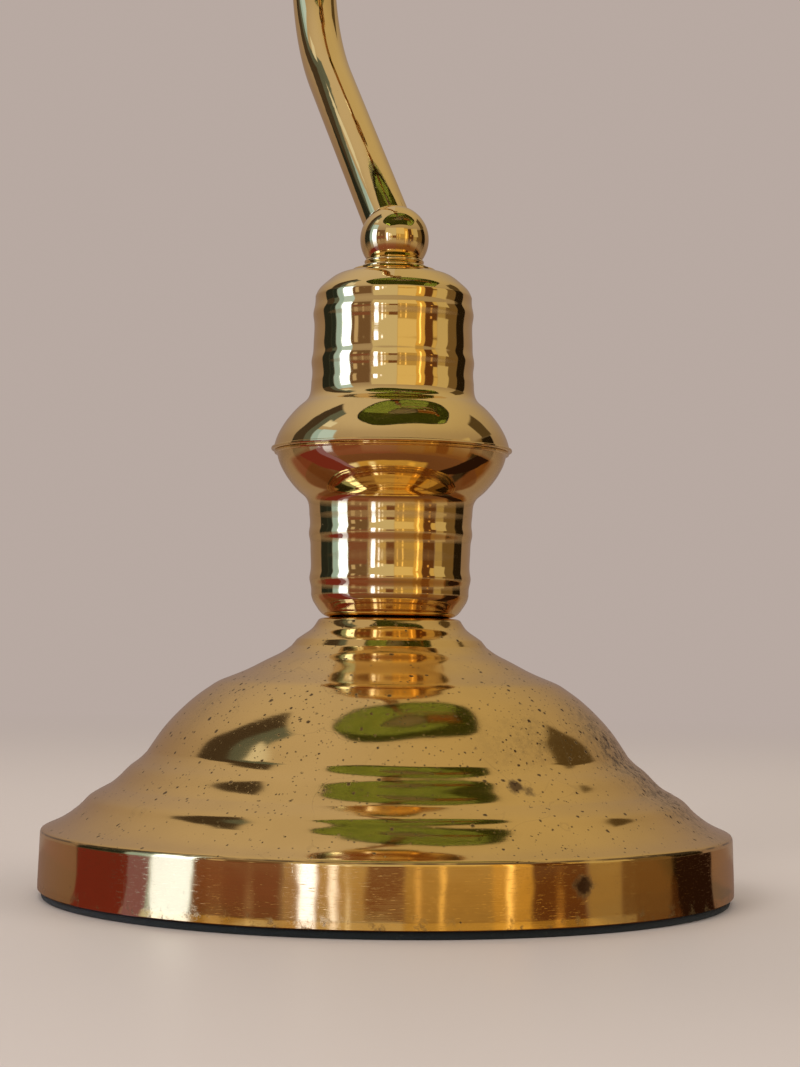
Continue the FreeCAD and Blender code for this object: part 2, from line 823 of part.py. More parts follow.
def holder_bracket():
    strap_z = pivot_z - strap_width / 2
    corners = [FreeCAD.Vector(-strap_tail, strap_rear_y(), strap_z),
               FreeCAD.Vector(holder_offset + strap_thickness, strap_rear_y(), strap_z),
               FreeCAD.Vector(holder_offset + strap_thickness, holder_y - strap_end, strap_z)]
    path = routed(corners, [strap_bend])
    sheets = [path.makeOffset2D(side * strap_thickness, 0, True, True, False) for side in (-1, 1)]
    sheet = min(sheets, key=lambda face: face.BoundBox.XMax)
    body = sheet.Faces[0].extrude(up * strap_width)
    body = body.cut(rod(stem_radius + thread_clearance, shade_axis(strap_rear_y() + overrun),
                        shade_axis(strap_rear_y() - strap_thickness - overrun)))
    reach = along_x * overrun
    return body.cut(rod(stem_radius + thread_clearance, holder_axis(0) - reach,
                        holder_axis(-strap_thickness) + reach))


def bracket_nuts():
    rear = strap_rear_y()
    front = rear - strap_thickness
    bore = stem_radius + thread_clearance
    return Part.makeCompound([
        hexagon(bracket_nut_flats, bore, shade_axis(rear), shade_axis(rear + bracket_nut_height)),
        hexagon(bracket_nut_flats, bore, shade_axis(front), shade_axis(front - bracket_nut_height))])


# Lampholder: turned pieces are made upright from the strap's face, then laid along -X
def holder_axis(distance):
    return FreeCAD.Vector(holder_offset - distance, holder_y, pivot_z)


def laid(shape):
    shape.Placement = FreeCAD.Placement(holder_axis(0), FreeCAD.Rotation(along_y, -90))
    return shape


def holder_nipple():
    return ring(stem_radius, stem_bore_radius, holder_axis(nipple_inside),
                holder_axis(-strap_thickness - nipple_outside))


def holder_nut():
    return hexagon(bracket_nut_flats, stem_radius + thread_clearance, holder_axis(-strap_thickness),
                   holder_axis(-strap_thickness - nipple_nut_height))


def holder_cap():
    def outline(inset):
        dome = [at(holder_cap_end_radius + share[0] * (holder_cap_radius - holder_cap_end_radius) - inset,
                   share[1] * holder_cap_length + inset) for share in holder_cap_shares]
        return [line(at(stem_radius + thread_clearance, inset), dome[0]), curve(dome),
                line(dome[-1], at(holder_cap_radius - inset, holder_cap_length))]

    body = laid(spun(outline, holder_cap_wall))
    switch_hole = rod(switch_stem_radius + running_clearance, switch_axis(0),
                      switch_axis(holder_cap_radius + overrun))
    lead_hole = rod(lead_radius + holder_lead_hole, lead_entry(0), lead_entry(holder_cap_radius + overrun))
    return body.cut(switch_hole).cut(lead_hole)


def holder_shell():
    def outline(inset):
        start = at(holder_shell_radius - inset, holder_cap_length - holder_shell_tuck)
        mouth = at(holder_shell_radius - inset, holder_cap_length + holder_shell_length - holder_mouth_length)
        end = at(holder_mouth_radius - inset, holder_cap_length + holder_shell_length)
        return [line(start, mouth), line(mouth, end)]

    return laid(spun(outline, holder_cap_wall))


def holder_core():
    end = holder_core_start + holder_core_length
    body = laid(rod(holder_core_radius, at(0, holder_core_start), at(0, end)))
    return body.cut(rod(switch_stem_radius + running_clearance, switch_axis(switch_depth - running_clearance),
                        switch_axis(holder_cap_radius)))


def holder_liner():
    start = holder_core_start + holder_core_length
    return laid(ring(holder_liner_radius, holder_liner_radius - holder_liner_wall, at(0, start),
                     at(0, holder_cap_length + holder_shell_length - holder_mouth_length)))


def holder_sleeve():
    start = holder_core_start + holder_core_length
    return laid(ring(sleeve_inner_radius + holder_sleeve_wall, sleeve_inner_radius, at(0, start),
                     at(0, bulb_start + bulb_cap_length - bulb_seat_gap)))


def holder_contact():
    start = holder_core_start + holder_core_length
    return laid(rod(contact_radius, at(0, start), at(0, bulb_start - contact_height / 2)))


def bulb_cap():
    thread_start = bulb_start + contact_height
    tip = Part.makeCone(contact_radius, bulb_cap_radius, contact_height, at(0, bulb_start), up)
    body = tip.fuse(rod(bulb_cap_radius, at(0, thread_start), at(0, bulb_start + bulb_cap_length)))
    nub = rod(contact_radius, at(0, bulb_start - contact_height / 2), at(0, bulb_start))
    inner = rod(bulb_cap_radius - bulb_cap_wall, at(0, glass_start - bulb_glass_wall),
                at(0, bulb_start + bulb_cap_length + overrun))
    return laid(body.fuse(nub).cut(inner))


def bulb_glass():
    places = [at(share[0] * bulb_radius, glass_start + share[1] * glass_length) for share in bulb_shares]
    neck_low = at(bulb_neck_radius, glass_start)
    neck_high = at(bulb_neck_radius, glass_start + bulb_glass_overlap)
    tip = at(0, glass_start + glass_length)
    outline = [line(neck_low, neck_high), curve([neck_high] + places + [tip])]
    outer = turned(outline + [line(tip, at(0, glass_start)), line(at(0, glass_start), neck_low)])
    thin = (bulb_radius - bulb_glass_wall) / bulb_radius
    hollow = [at(share[0] * bulb_radius * thin, glass_start + share[1] * glass_length * thin)
              for share in bulb_shares]
    hollow_low = at(bulb_neck_radius - bulb_glass_wall, glass_start + bulb_glass_wall)
    hollow_high = at(bulb_neck_radius - bulb_glass_wall, glass_start + bulb_glass_overlap)
    hollow_tip = at(0, glass_start + glass_length - bulb_glass_wall)
    base = at(0, glass_start + bulb_glass_wall)
    inner = turned([line(hollow_low, hollow_high), curve([hollow_high] + hollow + [hollow_tip]),
                    line(hollow_tip, base), line(base, hollow_low)])
    return laid(outer.cut(inner))


# Switch
def switch_axis(distance):
    return FreeCAD.Vector(holder_offset - switch_along, holder_y, pivot_z - distance)


def switch_stem():
    return rod(switch_stem_radius, switch_axis(switch_depth), switch_axis(switch_drop + switch_socket))


def switch_knob():
    grip = [at(share[0] * switch_knob_radius, share[1] * switch_knob_length) for share in knob_shares]
    top = at(0, 0)
    low = at(0, switch_knob_length)
    body = turned([line(top, grip[0]), curve(grip), line(grip[-1], low), line(low, top)])
    body = grooved(body, switch_knob_radius + switch_groove_radius / 2, switch_groove_radius,
                   switch_groove_count, -overrun, switch_knob_length + overrun)
    body.Placement = FreeCAD.Placement(switch_axis(switch_drop), FreeCAD.Rotation(along_x, 180))
    return body.cut(switch_stem())


# Lead inside the shade
def lead_entry(distance):
    return FreeCAD.Vector(holder_offset - holder_lead_inset, holder_y + distance, pivot_z)


def head_lead():
    turn_y = toward_holder(lead_turn_share)
    corners = [shade_axis(tongue_shoulder_y()), shade_axis(turn_y), lead_entry(turn_y - holder_y),
               lead_entry(holder_cap_radius - holder_lead_inset)]
    return swept(routed(corners, [holder_lead_bend, holder_lead_bend]), lead_radius)


makers = (felt_pad, base_shell, base_weight, base_washer, base_nut, neck_spacer, stem_rod, cord_bushing,
          terminal_block, terminal_screws, base_lead, lower_cup, upper_cup, cup_washer, cup_nut,
          swivel_collar, rod_coupler, swivel_ball, swivel_clip, swivel_stop_pin, arm_tube, arm_lead,
          tilt_fork, tilt_tongue, tilt_washers, tilt_screw, tilt_knob, shade_glass, shade_gaskets,
          shade_cup, shade_inner_washer, shade_ring_nut, holder_bracket, bracket_nuts, holder_nipple,
          holder_nut, holder_cap, holder_shell, holder_core, holder_liner, holder_sleeve,
          holder_contact, bulb_cap, bulb_glass, head_lead, switch_stem, switch_knob)
for maker in makers:
    maker().exportStep("parts/" + maker.__name__ + ".step")
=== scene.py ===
import json
import math

import bmesh
import bpy
import numpy as np
from mathutils import Matrix, Quaternion, Vector

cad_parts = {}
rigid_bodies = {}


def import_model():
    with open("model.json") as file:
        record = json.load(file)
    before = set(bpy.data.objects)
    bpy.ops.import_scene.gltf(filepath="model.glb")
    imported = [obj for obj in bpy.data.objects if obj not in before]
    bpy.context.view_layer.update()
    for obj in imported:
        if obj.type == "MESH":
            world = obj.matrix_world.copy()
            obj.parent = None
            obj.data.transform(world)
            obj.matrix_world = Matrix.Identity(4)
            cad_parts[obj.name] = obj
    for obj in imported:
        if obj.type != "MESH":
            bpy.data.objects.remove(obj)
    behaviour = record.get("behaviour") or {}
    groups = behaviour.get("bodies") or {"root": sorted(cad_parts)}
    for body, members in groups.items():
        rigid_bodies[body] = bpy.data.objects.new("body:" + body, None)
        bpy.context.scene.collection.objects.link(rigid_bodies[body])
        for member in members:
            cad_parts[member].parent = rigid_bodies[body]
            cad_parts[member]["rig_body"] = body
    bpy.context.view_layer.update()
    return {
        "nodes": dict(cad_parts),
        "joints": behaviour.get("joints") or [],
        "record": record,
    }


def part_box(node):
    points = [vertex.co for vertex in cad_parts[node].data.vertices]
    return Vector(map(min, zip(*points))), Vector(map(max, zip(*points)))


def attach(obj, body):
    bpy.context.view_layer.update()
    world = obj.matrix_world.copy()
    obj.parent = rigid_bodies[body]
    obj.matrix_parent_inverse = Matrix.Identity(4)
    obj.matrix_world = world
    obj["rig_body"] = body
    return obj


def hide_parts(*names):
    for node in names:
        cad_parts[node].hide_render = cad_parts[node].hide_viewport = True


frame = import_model()

bl_info = {
    "name": "Desk lamp with a glass trough shade",
    "version": (1, 0, 0),
    "blender": (4, 5, 0),
    "location": "3D View > Sidebar > Lamp",
    "description": "Builds the visible pieces and finishes of a brass desk lamp around its frame",
    "category": "Object",
}

# Places and sizes that come from the frame, in metres
joint_places = {joint["name"]: Vector(joint["pos_m"]) for joint in frame["joints"]}
slots = {part["node"]: part["material_slot"] for part in frame["record"]["subparts"]}
base_low, base_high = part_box("base_shell")
lower_low, lower_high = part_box("lower_cup")
upper_low, upper_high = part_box("upper_cup")
collar_low, collar_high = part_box("swivel_collar")
ball_low, ball_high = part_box("swivel_ball")
tube_low, tube_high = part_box("arm_tube")
fork_low, fork_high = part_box("tilt_fork")
glass_low, glass_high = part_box("shade_glass")
bulb_low, bulb_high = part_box("bulb_glass")
cap_low, cap_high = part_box("holder_cap")
shell_low, shell_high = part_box("holder_shell")
ball_centre = joint_places["arm_swivel"]
tilt_centre = joint_places["shade_tilt"]

# Heading of the camera from +Y towards +X, which the mirrored room faces
view_heading = math.radians(23.94)

# Fineness of the turned and bent pieces
turn_steps = 256
cup_turn_steps = 192
small_turn_steps = 96
curve_steps = 6
bend_steps = 48
tube_sides = 96
merge_gap = 1e-6
node_merge_gap = 5e-6
sharp_angle = math.radians(34)
wall_edge_angle = math.radians(60)
flat_angle = math.radians(0.4)
worn_edge_angle = math.radians(40)
worn_shading_angle = math.radians(42)

# Radius to which the edges of a thin wall are worn, and radius of the stem's holes
wall_round = 0.0002
stem_hole_radius = 0.0053

# Outlines, in shares of a piece's own width and height
neck_cove_shares = ((0.0, 0.982), (0.017, 0.951), (0.047, 0.922), (0.074, 0.898))
foot_cove_shares = ((0.094, 0.866), (0.127, 0.836), (0.171, 0.807), (0.256, 0.751), (0.335, 0.709),
                    (0.366, 0.691), (0.389, 0.672), (0.429, 0.636), (0.504, 0.551), (0.563, 0.466),
                    (0.595, 0.407), (0.619, 0.36))
upper_ring_shares = ((0.619, 0.36), (0.649, 0.322), (0.677, 0.295), (0.712, 0.251), (0.742, 0.216),
                     (0.754, 0.205))
lower_ring_shares = ((0.754, 0.205), (0.805, 0.169), (0.83, 0.147), (0.85, 0.12), (0.871, 0.0945))
brim_shares = ((0.871, 0.0945), (0.901, 0.0655), (0.936, 0.038), (0.986, 0.009))
cup_corner_shares = ((0.0, 0.0), (0.42, 0.16), (0.74, 0.5), (0.92, 0.76), (1.0, 1.0))
cup_tube_shares = ((0.964, 0.142), (0.970, 0.195), (0.988, 0.240), (0.977, 0.283), (0.973, 0.34),
                   (0.980, 0.42), (0.985, 0.465), (1.002, 0.513), (0.992, 0.56), (1.0, 0.63))
cup_flare_shares = ((0.0, 0.63), (0.013, 0.675), (0.062, 0.714), (0.15, 0.74), (0.285, 0.763),
                    (0.51, 0.808), (0.7, 0.856), (0.85, 0.904), (0.962, 0.952), (1.03, 1.0))
bulb_shares = ((0.62, 0.16), (0.98, 0.4), (1.0, 0.5), (0.9, 0.66), (0.56, 0.84), (0.2, 0.96))
holder_cap_shares = ((0.0, 0.0), (0.62, 0.07), (0.9, 0.2), (1.0, 0.42))
# The cups' rounded lip: metres inside its radius, and shares of the wall's thickness
cup_lip = ((0.0003, 0.0), (0.0001, 0.14), (0.0, 0.5), (0.0001, 0.86), (0.0003, 1.0))


def length_setting(name, description, default):
    return bpy.props.FloatProperty(name=name, description=description, default=default, min=0.0,
                                   precision=5, unit="LENGTH")


def colour_setting(name, description, default):
    return bpy.props.FloatVectorProperty(name=name, description=description, default=default, size=3,
                                         min=0.0, max=1.0, subtype="COLOR")


def angle_setting(name, description, default):
    return bpy.props.FloatProperty(name=name, description=description, default=default, subtype="ANGLE")


class LampSizes(bpy.types.PropertyGroup):
    """Sizes that the frame doesn't give."""
    edge_round: length_setting("Edge rounding", "Radius of the worn edges of hardware", 0.00025)
    brass_wall: length_setting("Shell wall", "Thickness of the spun base shell", 0.0012)
    cup_wall: length_setting("Cup wall", "Thickness of the column's cups", 0.0009)
    neck_radius: length_setting("Neck radius", "Radius of the base's neck under the column", 0.019)
    rim_height: length_setting("Rim height", "Height of the rim's top edge above the table", 0.017)
    cup_radius: length_setting("Cup radius", "Radius of the straight part of a cup", 0.0215)
    tube_radius: length_setting("Arm tube radius", "Outer radius of the arm's tube", 0.00635)
    glass_wall: length_setting("Shade wall", "Thickness of the shade's glass", 0.003)


class LampFinishes(bpy.types.PropertyGroup):
    """Colours of the finishes."""
    brass: colour_setting("Polished brass", "Colour of the column and the arm", (0.88, 0.65, 0.29))
    dome: colour_setting("Base brass", "Colour of the spun base", (0.82, 0.56, 0.22))
    tarnish: colour_setting("Tarnish", "Colour of the brass's specks and stains", (0.070, 0.034, 0.014))
    glass: colour_setting("Shade glass", "Colour of the green glass", (0.090, 0.125, 0.030))
    felt: colour_setting("Felt", "Colour of the pad under the base", (0.007, 0.014, 0.016))


class StageSettings(bpy.types.PropertyGroup):
    """The studio around the lamp."""
    wall: colour_setting("Backdrop", "Colour of the plain backdrop", (0.478, 0.398, 0.360))
    floor: colour_setting("Floor", "Colour of the plain floor", (0.55, 0.48, 0.44))
    lens: bpy.props.FloatProperty(
        name="Lens", description="Focal length of the camera in millimetres", default=73.0)
    camera_place: bpy.props.FloatVectorProperty(
        name="Camera place", description="Where the camera stands", subtype="TRANSLATION",
        size=3, default=(-0.2290, -0.5219, 0.0647))
    camera_azimuth: angle_setting("Camera azimuth", "Heading of the camera, from +Y towards +X",
                                  view_heading)
    camera_pitch: angle_setting("Camera pitch", "How far the camera looks up", math.radians(2.989))
    camera_roll: angle_setting("Camera roll", "Tilt of the camera about its own axis", math.radians(0.75))


# Points of one smooth line through the given points, in any number of directions
def smooth(points, steps=curve_steps):
    spots = np.array([tuple(point) for point in points])
    gaps = np.linalg.norm(np.diff(spots, axis=0), axis=1)
    rows = np.eye(len(spots))
    turns = np.zeros_like(spots)
    for index in range(1, len(spots) - 1):
        before, after = gaps[index - 1], gaps[index]
        rows[index, index - 1:index + 2] = before, 2 * (before + after), after
        step_before = spots[index] - spots[index - 1]
        step_after = spots[index + 1] - spots[index]
        turns[index] = 6 * (step_after / after - step_before / before)
    bends = np.linalg.solve(rows, turns)
    line = []
    for index, gap in enumerate(gaps):
        for share in np.arange(steps) / steps:
            ahead, left = share * gap, (1 - share) * gap
            spot = (spots[index] * (1 - share) + spots[index + 1] * share
                    + bends[index] * (left ** 3 / gap - gap * left) / 6
                    + bends[index + 1] * (ahead ** 3 / gap - gap * ahead) / 6)
            line.append(tuple(spot))
    return line + [tuple(spots[-1])]


# A straight stretch of an outline, with points near its ends that keep its shading flat
def straight(start, end, hold=0.0003):
    length = math.dist(start, end)
    if length < 4 * hold:
        return [start, end]
    share = hold / length
    return [tuple(s + (e - s) * at for s, e in zip(start, end)) for at in (0, share, 0.5, 1 - share, 1)]


# An outline from axis to axis with its corners rounded, and its straight stretches held flat
def eased(corners, radius, steps=4):
    line = [corners[0]]
    for before, corner, after in zip(corners, corners[1:], corners[2:]):
        here = Vector(corner)
        back = Vector(before) - here
        ahead = Vector(after) - here
        reach = min(radius, back.length * 0.45, ahead.length * 0.45)
        start = here + back.normalized() * reach
        end = here + ahead.normalized() * reach
        for share in np.linspace(0, 1, steps + 1):
            line.append(tuple(start.lerp(here, share).lerp(here.lerp(end, share), share)))
    line.append(corners[-1])
    held = []
    for start, end in zip(line, line[1:]):
        held += straight(start, end, hold=radius)[:-1]
    return held + [line[-1]]


def without_repeats(line):
    kept = []
    for spot in line:
        if not kept or math.dist(kept[-1], spot) > merge_gap:
            kept.append(spot)
    return kept


# Turns an outline of radius and height about Z; a closed outline makes a ring
def turned(outline, steps=turn_steps, closed=True):
    made = bmesh.new()
    corners = [made.verts.new((radius, 0.0, height)) for radius, height in without_repeats(outline)]
    pairs = list(zip(corners, corners[1:]))
    if closed:
        pairs.append((corners[-1], corners[0]))
    edges = [made.edges.new(pair) for pair in pairs]
    bmesh.ops.spin(made, geom=corners + edges, cent=(0, 0, 0), axis=(0, 0, 1),
                   angle=2 * math.pi, steps=steps, use_merge=True)
    bmesh.ops.remove_doubles(made, verts=made.verts, dist=merge_gap)
    bmesh.ops.recalc_face_normals(made, faces=made.faces)
    return made


# Lays a piece that was turned about Z along another direction, from a place
def laid(made, place, heading):
    turn = Vector((0, 0, 1)).rotation_difference(heading).to_matrix().to_4x4()
    bmesh.ops.transform(made, matrix=Matrix.Translation(place) @ turn, verts=made.verts)
    return made


# Puts a mesh, a light or a camera in the scene as an object of its own
def in_scene(name, data):
    thing = bpy.data.objects.new(name, data)
    bpy.context.scene.collection.objects.link(thing)
    return thing


def mesh_of(made, name):
    mesh = bpy.data.meshes.new(name)
    made.to_mesh(mesh)
    made.free()
    return mesh


# Makes a piece of a mesh: it rides where its node rides, and stands for that node
def piece(made, name, node, finish, edge_angle=sharp_angle):
    mesh = mesh_of(made, name)
    mesh.shade_smooth()
    mesh.set_sharp_from_angle(angle=edge_angle)
    mesh.materials.append(finish)
    thing = in_scene(name, mesh)
    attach(thing, frame["nodes"][node]["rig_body"])
    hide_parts(node)
    return thing


# Gives an open skin its wall, drawn inwards, and rounds the wall's edges
def walled(thing, wall, edge_round):
    thick = thing.modifiers.new("wall", "SOLIDIFY")
    thick.thickness = wall
    thick.offset = -1.0
    thick.use_even_offset = True
    worn = thing.modifiers.new("worn edges", "BEVEL")
    worn.width = edge_round
    worn.segments = 3
    worn.limit_method = "ANGLE"
    worn.angle_limit = wall_edge_angle
    return thing


# Cuts a hole through a finished piece
def bored(thing, radius, start, end):
    cutter = bmesh.new()
    bmesh.ops.create_cone(cutter, cap_ends=True, segments=small_turn_steps, radius1=radius,
                          radius2=radius, depth=(end - start).length)
    laid(cutter, (start + end) / 2, (end - start).normalized())
    mesh = mesh_of(cutter, "cutter")
    tool = in_scene("cutter", mesh)
    cut = thing.modifiers.new("hole", "BOOLEAN")
    cut.object = tool
    cut.operation = "DIFFERENCE"
    cut.solver = "EXACT"
    whole = thing.evaluated_get(bpy.context.evaluated_depsgraph_get())
    holed = bpy.data.meshes.new_from_object(whole)
    thing.modifiers.clear()
    old = thing.data
    thing.data = holed
    holed.name = thing.name
    bpy.data.meshes.remove(old)
    bpy.data.objects.remove(tool)
    bpy.data.meshes.remove(mesh)
    return thing


# A copy of a machined node with its doubles merged and its sharp edges worn round
def worn_copy(name, node, finish, width):
    made = bmesh.new()
    made.from_mesh(frame["nodes"][node].data)
    bmesh.ops.remove_doubles(made, verts=made.verts, dist=node_merge_gap)
    bmesh.ops.dissolve_limit(made, angle_limit=flat_angle, use_dissolve_boundaries=False,
                             verts=made.verts, edges=made.edges)
    sharp = [edge for edge in made.edges
             if edge.is_manifold and edge.calc_face_angle() > worn_edge_angle]
    bmesh.ops.bevel(made, geom=sharp, offset=width, offset_type="OFFSET", segments=2, profile=0.5,
                    affect="EDGES", clamp_overlap=True, material=-1)
    bmesh.ops.triangulate(made, faces=made.faces)
    return piece(made, name, node, finish, edge_angle=worn_shading_angle)


class Flow:
    """One output of a node, with the arithmetic that the finishes are written in."""

    def __init__(self, tree, socket=None):
        self.tree = tree
        self.socket = socket

    def node(self, kind, settings=None, values=None, output=0):
        made = self.tree.nodes.new("ShaderNode" + kind)
        for name, setting in (settings or {}).items():
            setattr(made, name, setting)
        for name, value in (values or {}).items():
            plug(made.inputs[name], value)
        return Flow(self.tree, made.outputs[output])

    def math(self, operation, *others):
        return self.node("Math", {"operation": operation}, dict(enumerate((self,) + others)))

    def vector(self, operation, other, output=0):
        return self.node("VectorMath", {"operation": operation}, {0: self, 1: other}, output)

    def __add__(self, other):
        return self.math("ADD", other)

    __radd__ = __add__

    def __sub__(self, other):
        return self.math("SUBTRACT", other)

    def __rsub__(self, other):
        return self.node("Math", {"operation": "SUBTRACT"}, {0: other, 1: self})

    def __mul__(self, other):
        return self.math("MULTIPLY", other)

    __rmul__ = __mul__

    def __truediv__(self, other):
        return self.math("DIVIDE", other)

    def __lt__(self, other):
        return self.math("LESS_THAN", other)

    def clamped(self):
        return self.node("Clamp", None, {"Value": self})

    def rise(self, low, high):
        values = {"Value": self, "From Min": low, "From Max": high}
        return self.node("MapRange", {"interpolation_type": "SMOOTHSTEP"}, values)

    def band(self, low, high, blur):
        return self.rise(low - blur, low + blur) * self.rise(high + blur, high - blur)

    def mix(self, first, second):
        settings = {"data_type": "RGBA", "clamp_factor": True}
        return self.node("Mix", settings, {0: self, 6: first, 7: second}, 2)

    def arctan2(self, across):
        return self.node("Math", {"operation": "ARCTAN2"}, {0: self, 1: across})

    def part(self, axis):
        return self.node("SeparateXYZ", None, {0: self}, "XYZ".index(axis))

    def noise(self, scale, detail=2.0, roughness=0.5, distortion=0.0, output=0):
        values = {"Vector": self, "Scale": scale, "Detail": detail, "Roughness": roughness,
                  "Distortion": distortion}
        return self.node("TexNoise", None, values, output)

    def stretched(self, scale):
        return self.vector("MULTIPLY", scale)

    def bump(self, strength, distance):
        return self.node("Bump", None, {"Strength": strength, "Distance": distance, "Height": self})


def plug(socket, value):
    if isinstance(value, Flow):
        value.tree.links.new(value.socket, socket)
    elif hasattr(socket.default_value, "__len__") and len(socket.default_value) == 4:
        socket.default_value = (*value, 1.0)
    else:
        socket.default_value = value


# Depth of the finest relief in metres, and degrees in a radian
fine_relief = 0.00001
degrees = 180 / math.pi


# A finish: what is the same all over is set on the shader, what changes is linked to it
def finish_of(name, fixed, varied):
    ready = bpy.data.materials.get(name)
    if ready:
        return ready
    material = bpy.data.materials.new(name)
    material.use_nodes = True
    tree = material.node_tree
    shader = tree.nodes["Principled BSDF"]
    for socket, value in fixed.items():
        plug(shader.inputs[socket], value)
    place = Flow(tree).node("TexCoord", output="Object")
    for socket, value in varied(place).items():
        plug(shader.inputs[socket], value)
    return material


# Places shaken by noise of the given fineness, so that what is drawn there has a torn edge
def torn(place, fineness, detail, roughness, reach):
    jolt = place.noise(fineness, detail, roughness, output=1).vector("SUBTRACT", (0.5, 0.5, 0.5))
    return place.vector("ADD", jolt.stretched((reach,) * 3))


# Scattered spots: their spacing and largest radius in metres, and the share of cells that hold one
def specks(place, spacing, largest, share, ragged=0.16):
    shaken = torn(place, 1.3 / largest, 3.0, 0.5, ragged * spacing * 2)
    values = {"Vector": shaken, "Scale": 1 / spacing, "Randomness": 1.0}
    distance = place.node("TexVoronoi", None, values, 0)
    lots = place.node("TexVoronoi", None, values, 1)
    chance = place.node("SeparateColor", None, {0: lots}, 0)
    size = place.node("SeparateColor", None, {0: lots}, 1)
    radius = (size * size * 0.7 + 0.3) * (largest / spacing)
    inside = (radius - distance) / radius
    return inside.rise(0.0, 0.5) * (chance < share)


# Marks from a table of places, reaches and strengths; core is the share of a reach that is full
def marked(place, table, core=0.0):
    return sum(place.vector("DISTANCE", centre, "Value").rise(reach, reach * core) * strength
               for centre, reach, strength in table)


# Angle round the base's axis and radius from it
def around(place):
    return place.part("Y").arctan2(place.part("X"))


def from_axis(place):
    return place.stretched((1, 1, 0)).vector("LENGTH", (0, 0, 0), "Value")


# Marks on the base: a place on it, the reach of the mark and how strong it is
speck_fields = (
    ((-0.046, -0.011, 0.054), 0.026, 0.35),
    ((-0.054, -0.036, 0.036), 0.036, 0.22),
    ((-0.018, -0.058, 0.040), 0.030, 0.40),
    ((0.028, -0.041, 0.051), 0.032, 0.50),
    ((0.048, -0.042, 0.034), 0.038, 0.80),
    ((-0.036, -0.036, 0.051), 0.022, 0.30),
    ((0.018, -0.045, 0.052), 0.022, 0.30))
haze_fields = (
    ((0.052, -0.044, 0.033), 0.026, 0.95),
    ((0.040, -0.043, 0.043), 0.020, 0.70),
    ((0.060, -0.053, 0.022), 0.022, 0.55),
    ((0.014, -0.055, 0.044), 0.010, 0.35),
    ((-0.052, -0.004, 0.050), 0.013, 0.35),
    ((0.006, -0.060, 0.041), 0.014, 0.22))
blotches = (
    ((0.0095, -0.0893, 0.0110), 0.0034, 0.95),
    ((0.0029, -0.0678, 0.0323), 0.0028, 0.90),
    ((0.0060, -0.0690, 0.0315), 0.0020, 0.70))
# Heights on the base: where the rim ends, the painted shade line under its edge, and where the rim's foot
# starts to turn darker
rim_shoulder = (0.0172, 0.0168)
rim_shade_line = (0.01660, 0.01700)
rim_shade_line_blur = 0.0001
foot_darkening_heights = (0.0062, 0.0030)


def base_brass():
    colours = bpy.context.scene.lamp_finishes

    def varied(place):
        height = place.part("Z")
        rim = height.rise(*rim_shoulder)
        dome = 1 - rim
        patches = place.noise(42.0, 4.0, 0.6).rise(0.38, 0.66)
        crowd = patches * 0.46 + 0.20
        crowd = (crowd + marked(place, speck_fields)) * (dome * 0.975 + 0.025)
        spots = specks(place, 0.0022, 0.00080, crowd * 0.9)
        dust = specks(place, 0.0012, 0.00042, crowd * 1.3)
        cloud = place.noise(480.0, 5.0, 0.75).rise(0.42, 0.60) * 0.8 + 0.2
        haze = marked(torn(place, 90.0, 4.0, 0.7, 0.012), haze_fields) * dome * cloud
        stains = marked(torn(place, 420.0, 4.0, 0.7, 0.0036), blotches, 0.4)
        # A painted shade line along the crease under the rim's top edge, broken up by noise
        painted_crease_shade = height.band(*rim_shade_line, rim_shade_line_blur) * place.noise(160.0).rise(0.3, 0.6) * 0.8
        # Darker towards the rim's foot, in patches
        foot_darkening = height.rise(*foot_darkening_heights) * place.noise(300.0, 4.0, 0.7).rise(0.52, 0.68)
        tidemark = place.noise(30.0, 3.0, 0.5, 0.5).band(0.497, 0.503, 0.004) * dome * patches
        # The marks hold real specks, dust, haze, tidemarks and stains, and also the painted shade line
        marks_and_shade_line = (spots * 0.90 + dust * 0.80 + haze * 0.80 + tidemark * 0.22 + stains + painted_crease_shade
                 + foot_darkening * 0.5).clamped()
        tone = place.noise(55.0, 3.0, 0.6).rise(0.3, 0.75)
        plain = (tone * 0.4).mix(colours.dome, [part * 0.84 for part in colours.dome])
        colour = marks_and_shade_line.mix(plain, colours.tarnish)
        radius = from_axis(place)
        angle = around(place)
        spin_lines = height.node("CombineXYZ", None, {0: radius, 1: height, 2: angle * 0.0012})
        spun = spin_lines.noise(2600.0, 2.0, 0.6)
        scratch_map = height.node("CombineXYZ", None, {0: angle * 0.006, 1: height, 2: 0.0})
        scratch = scratch_map.noise(5200.0, 3.0, 0.7).rise(0.60, 0.78) * rim
        upright_map = height.node("CombineXYZ", None, {0: angle * 0.09, 1: height * 0.10, 2: 0.0})
        scratch = scratch + upright_map.noise(1500.0, 3.0, 0.7).rise(0.66, 0.80) * rim * 0.6
        long_waves = place.noise(70.0, 2.0)
        rough = 0.05 + dome * 0.03 + spun * 0.03 + haze * 0.20 + spots * 0.35 + scratch * 0.16 + foot_darkening * 0.25
        relief = spun * 0.25 + scratch * -0.8 + marks_and_shade_line * -1.0 + long_waves * 8.0
        return {"Base Color": colour, "Metallic": 1 - marks_and_shade_line * 0.2, "Roughness": rough,
                "Normal": relief.bump(1.0, 0.000012)}

    return finish_of("spun brass of the base", {}, varied)


def column_brass():
    colours = bpy.context.scene.lamp_finishes

    def varied(place):
        spots = specks(place, 0.0030, 0.00032, 0.05)
        smear = place.stretched((1, 1, 0.35)).noise(120.0, 4.0, 0.6).rise(0.48, 0.75)
        plain = (smear * 0.3).mix(colours.brass, [part * 0.88 for part in colours.brass])
        colour = (spots * 0.85).mix(plain, colours.tarnish)
        spun = place.stretched((0.05, 0.05, 1)).noise(3200.0, 2.0)
        rough = 0.035 + smear * 0.05 + spots * 0.4 + spun * 0.02
        relief = spun * 0.15 + place.noise(110.0, 2.0) * 6.0 - spots
        return {"Base Color": colour, "Metallic": 1 - spots * 0.6, "Roughness": rough,
                "Normal": relief.bump(1.0, fine_relief)}

    return finish_of("polished brass", {}, varied)


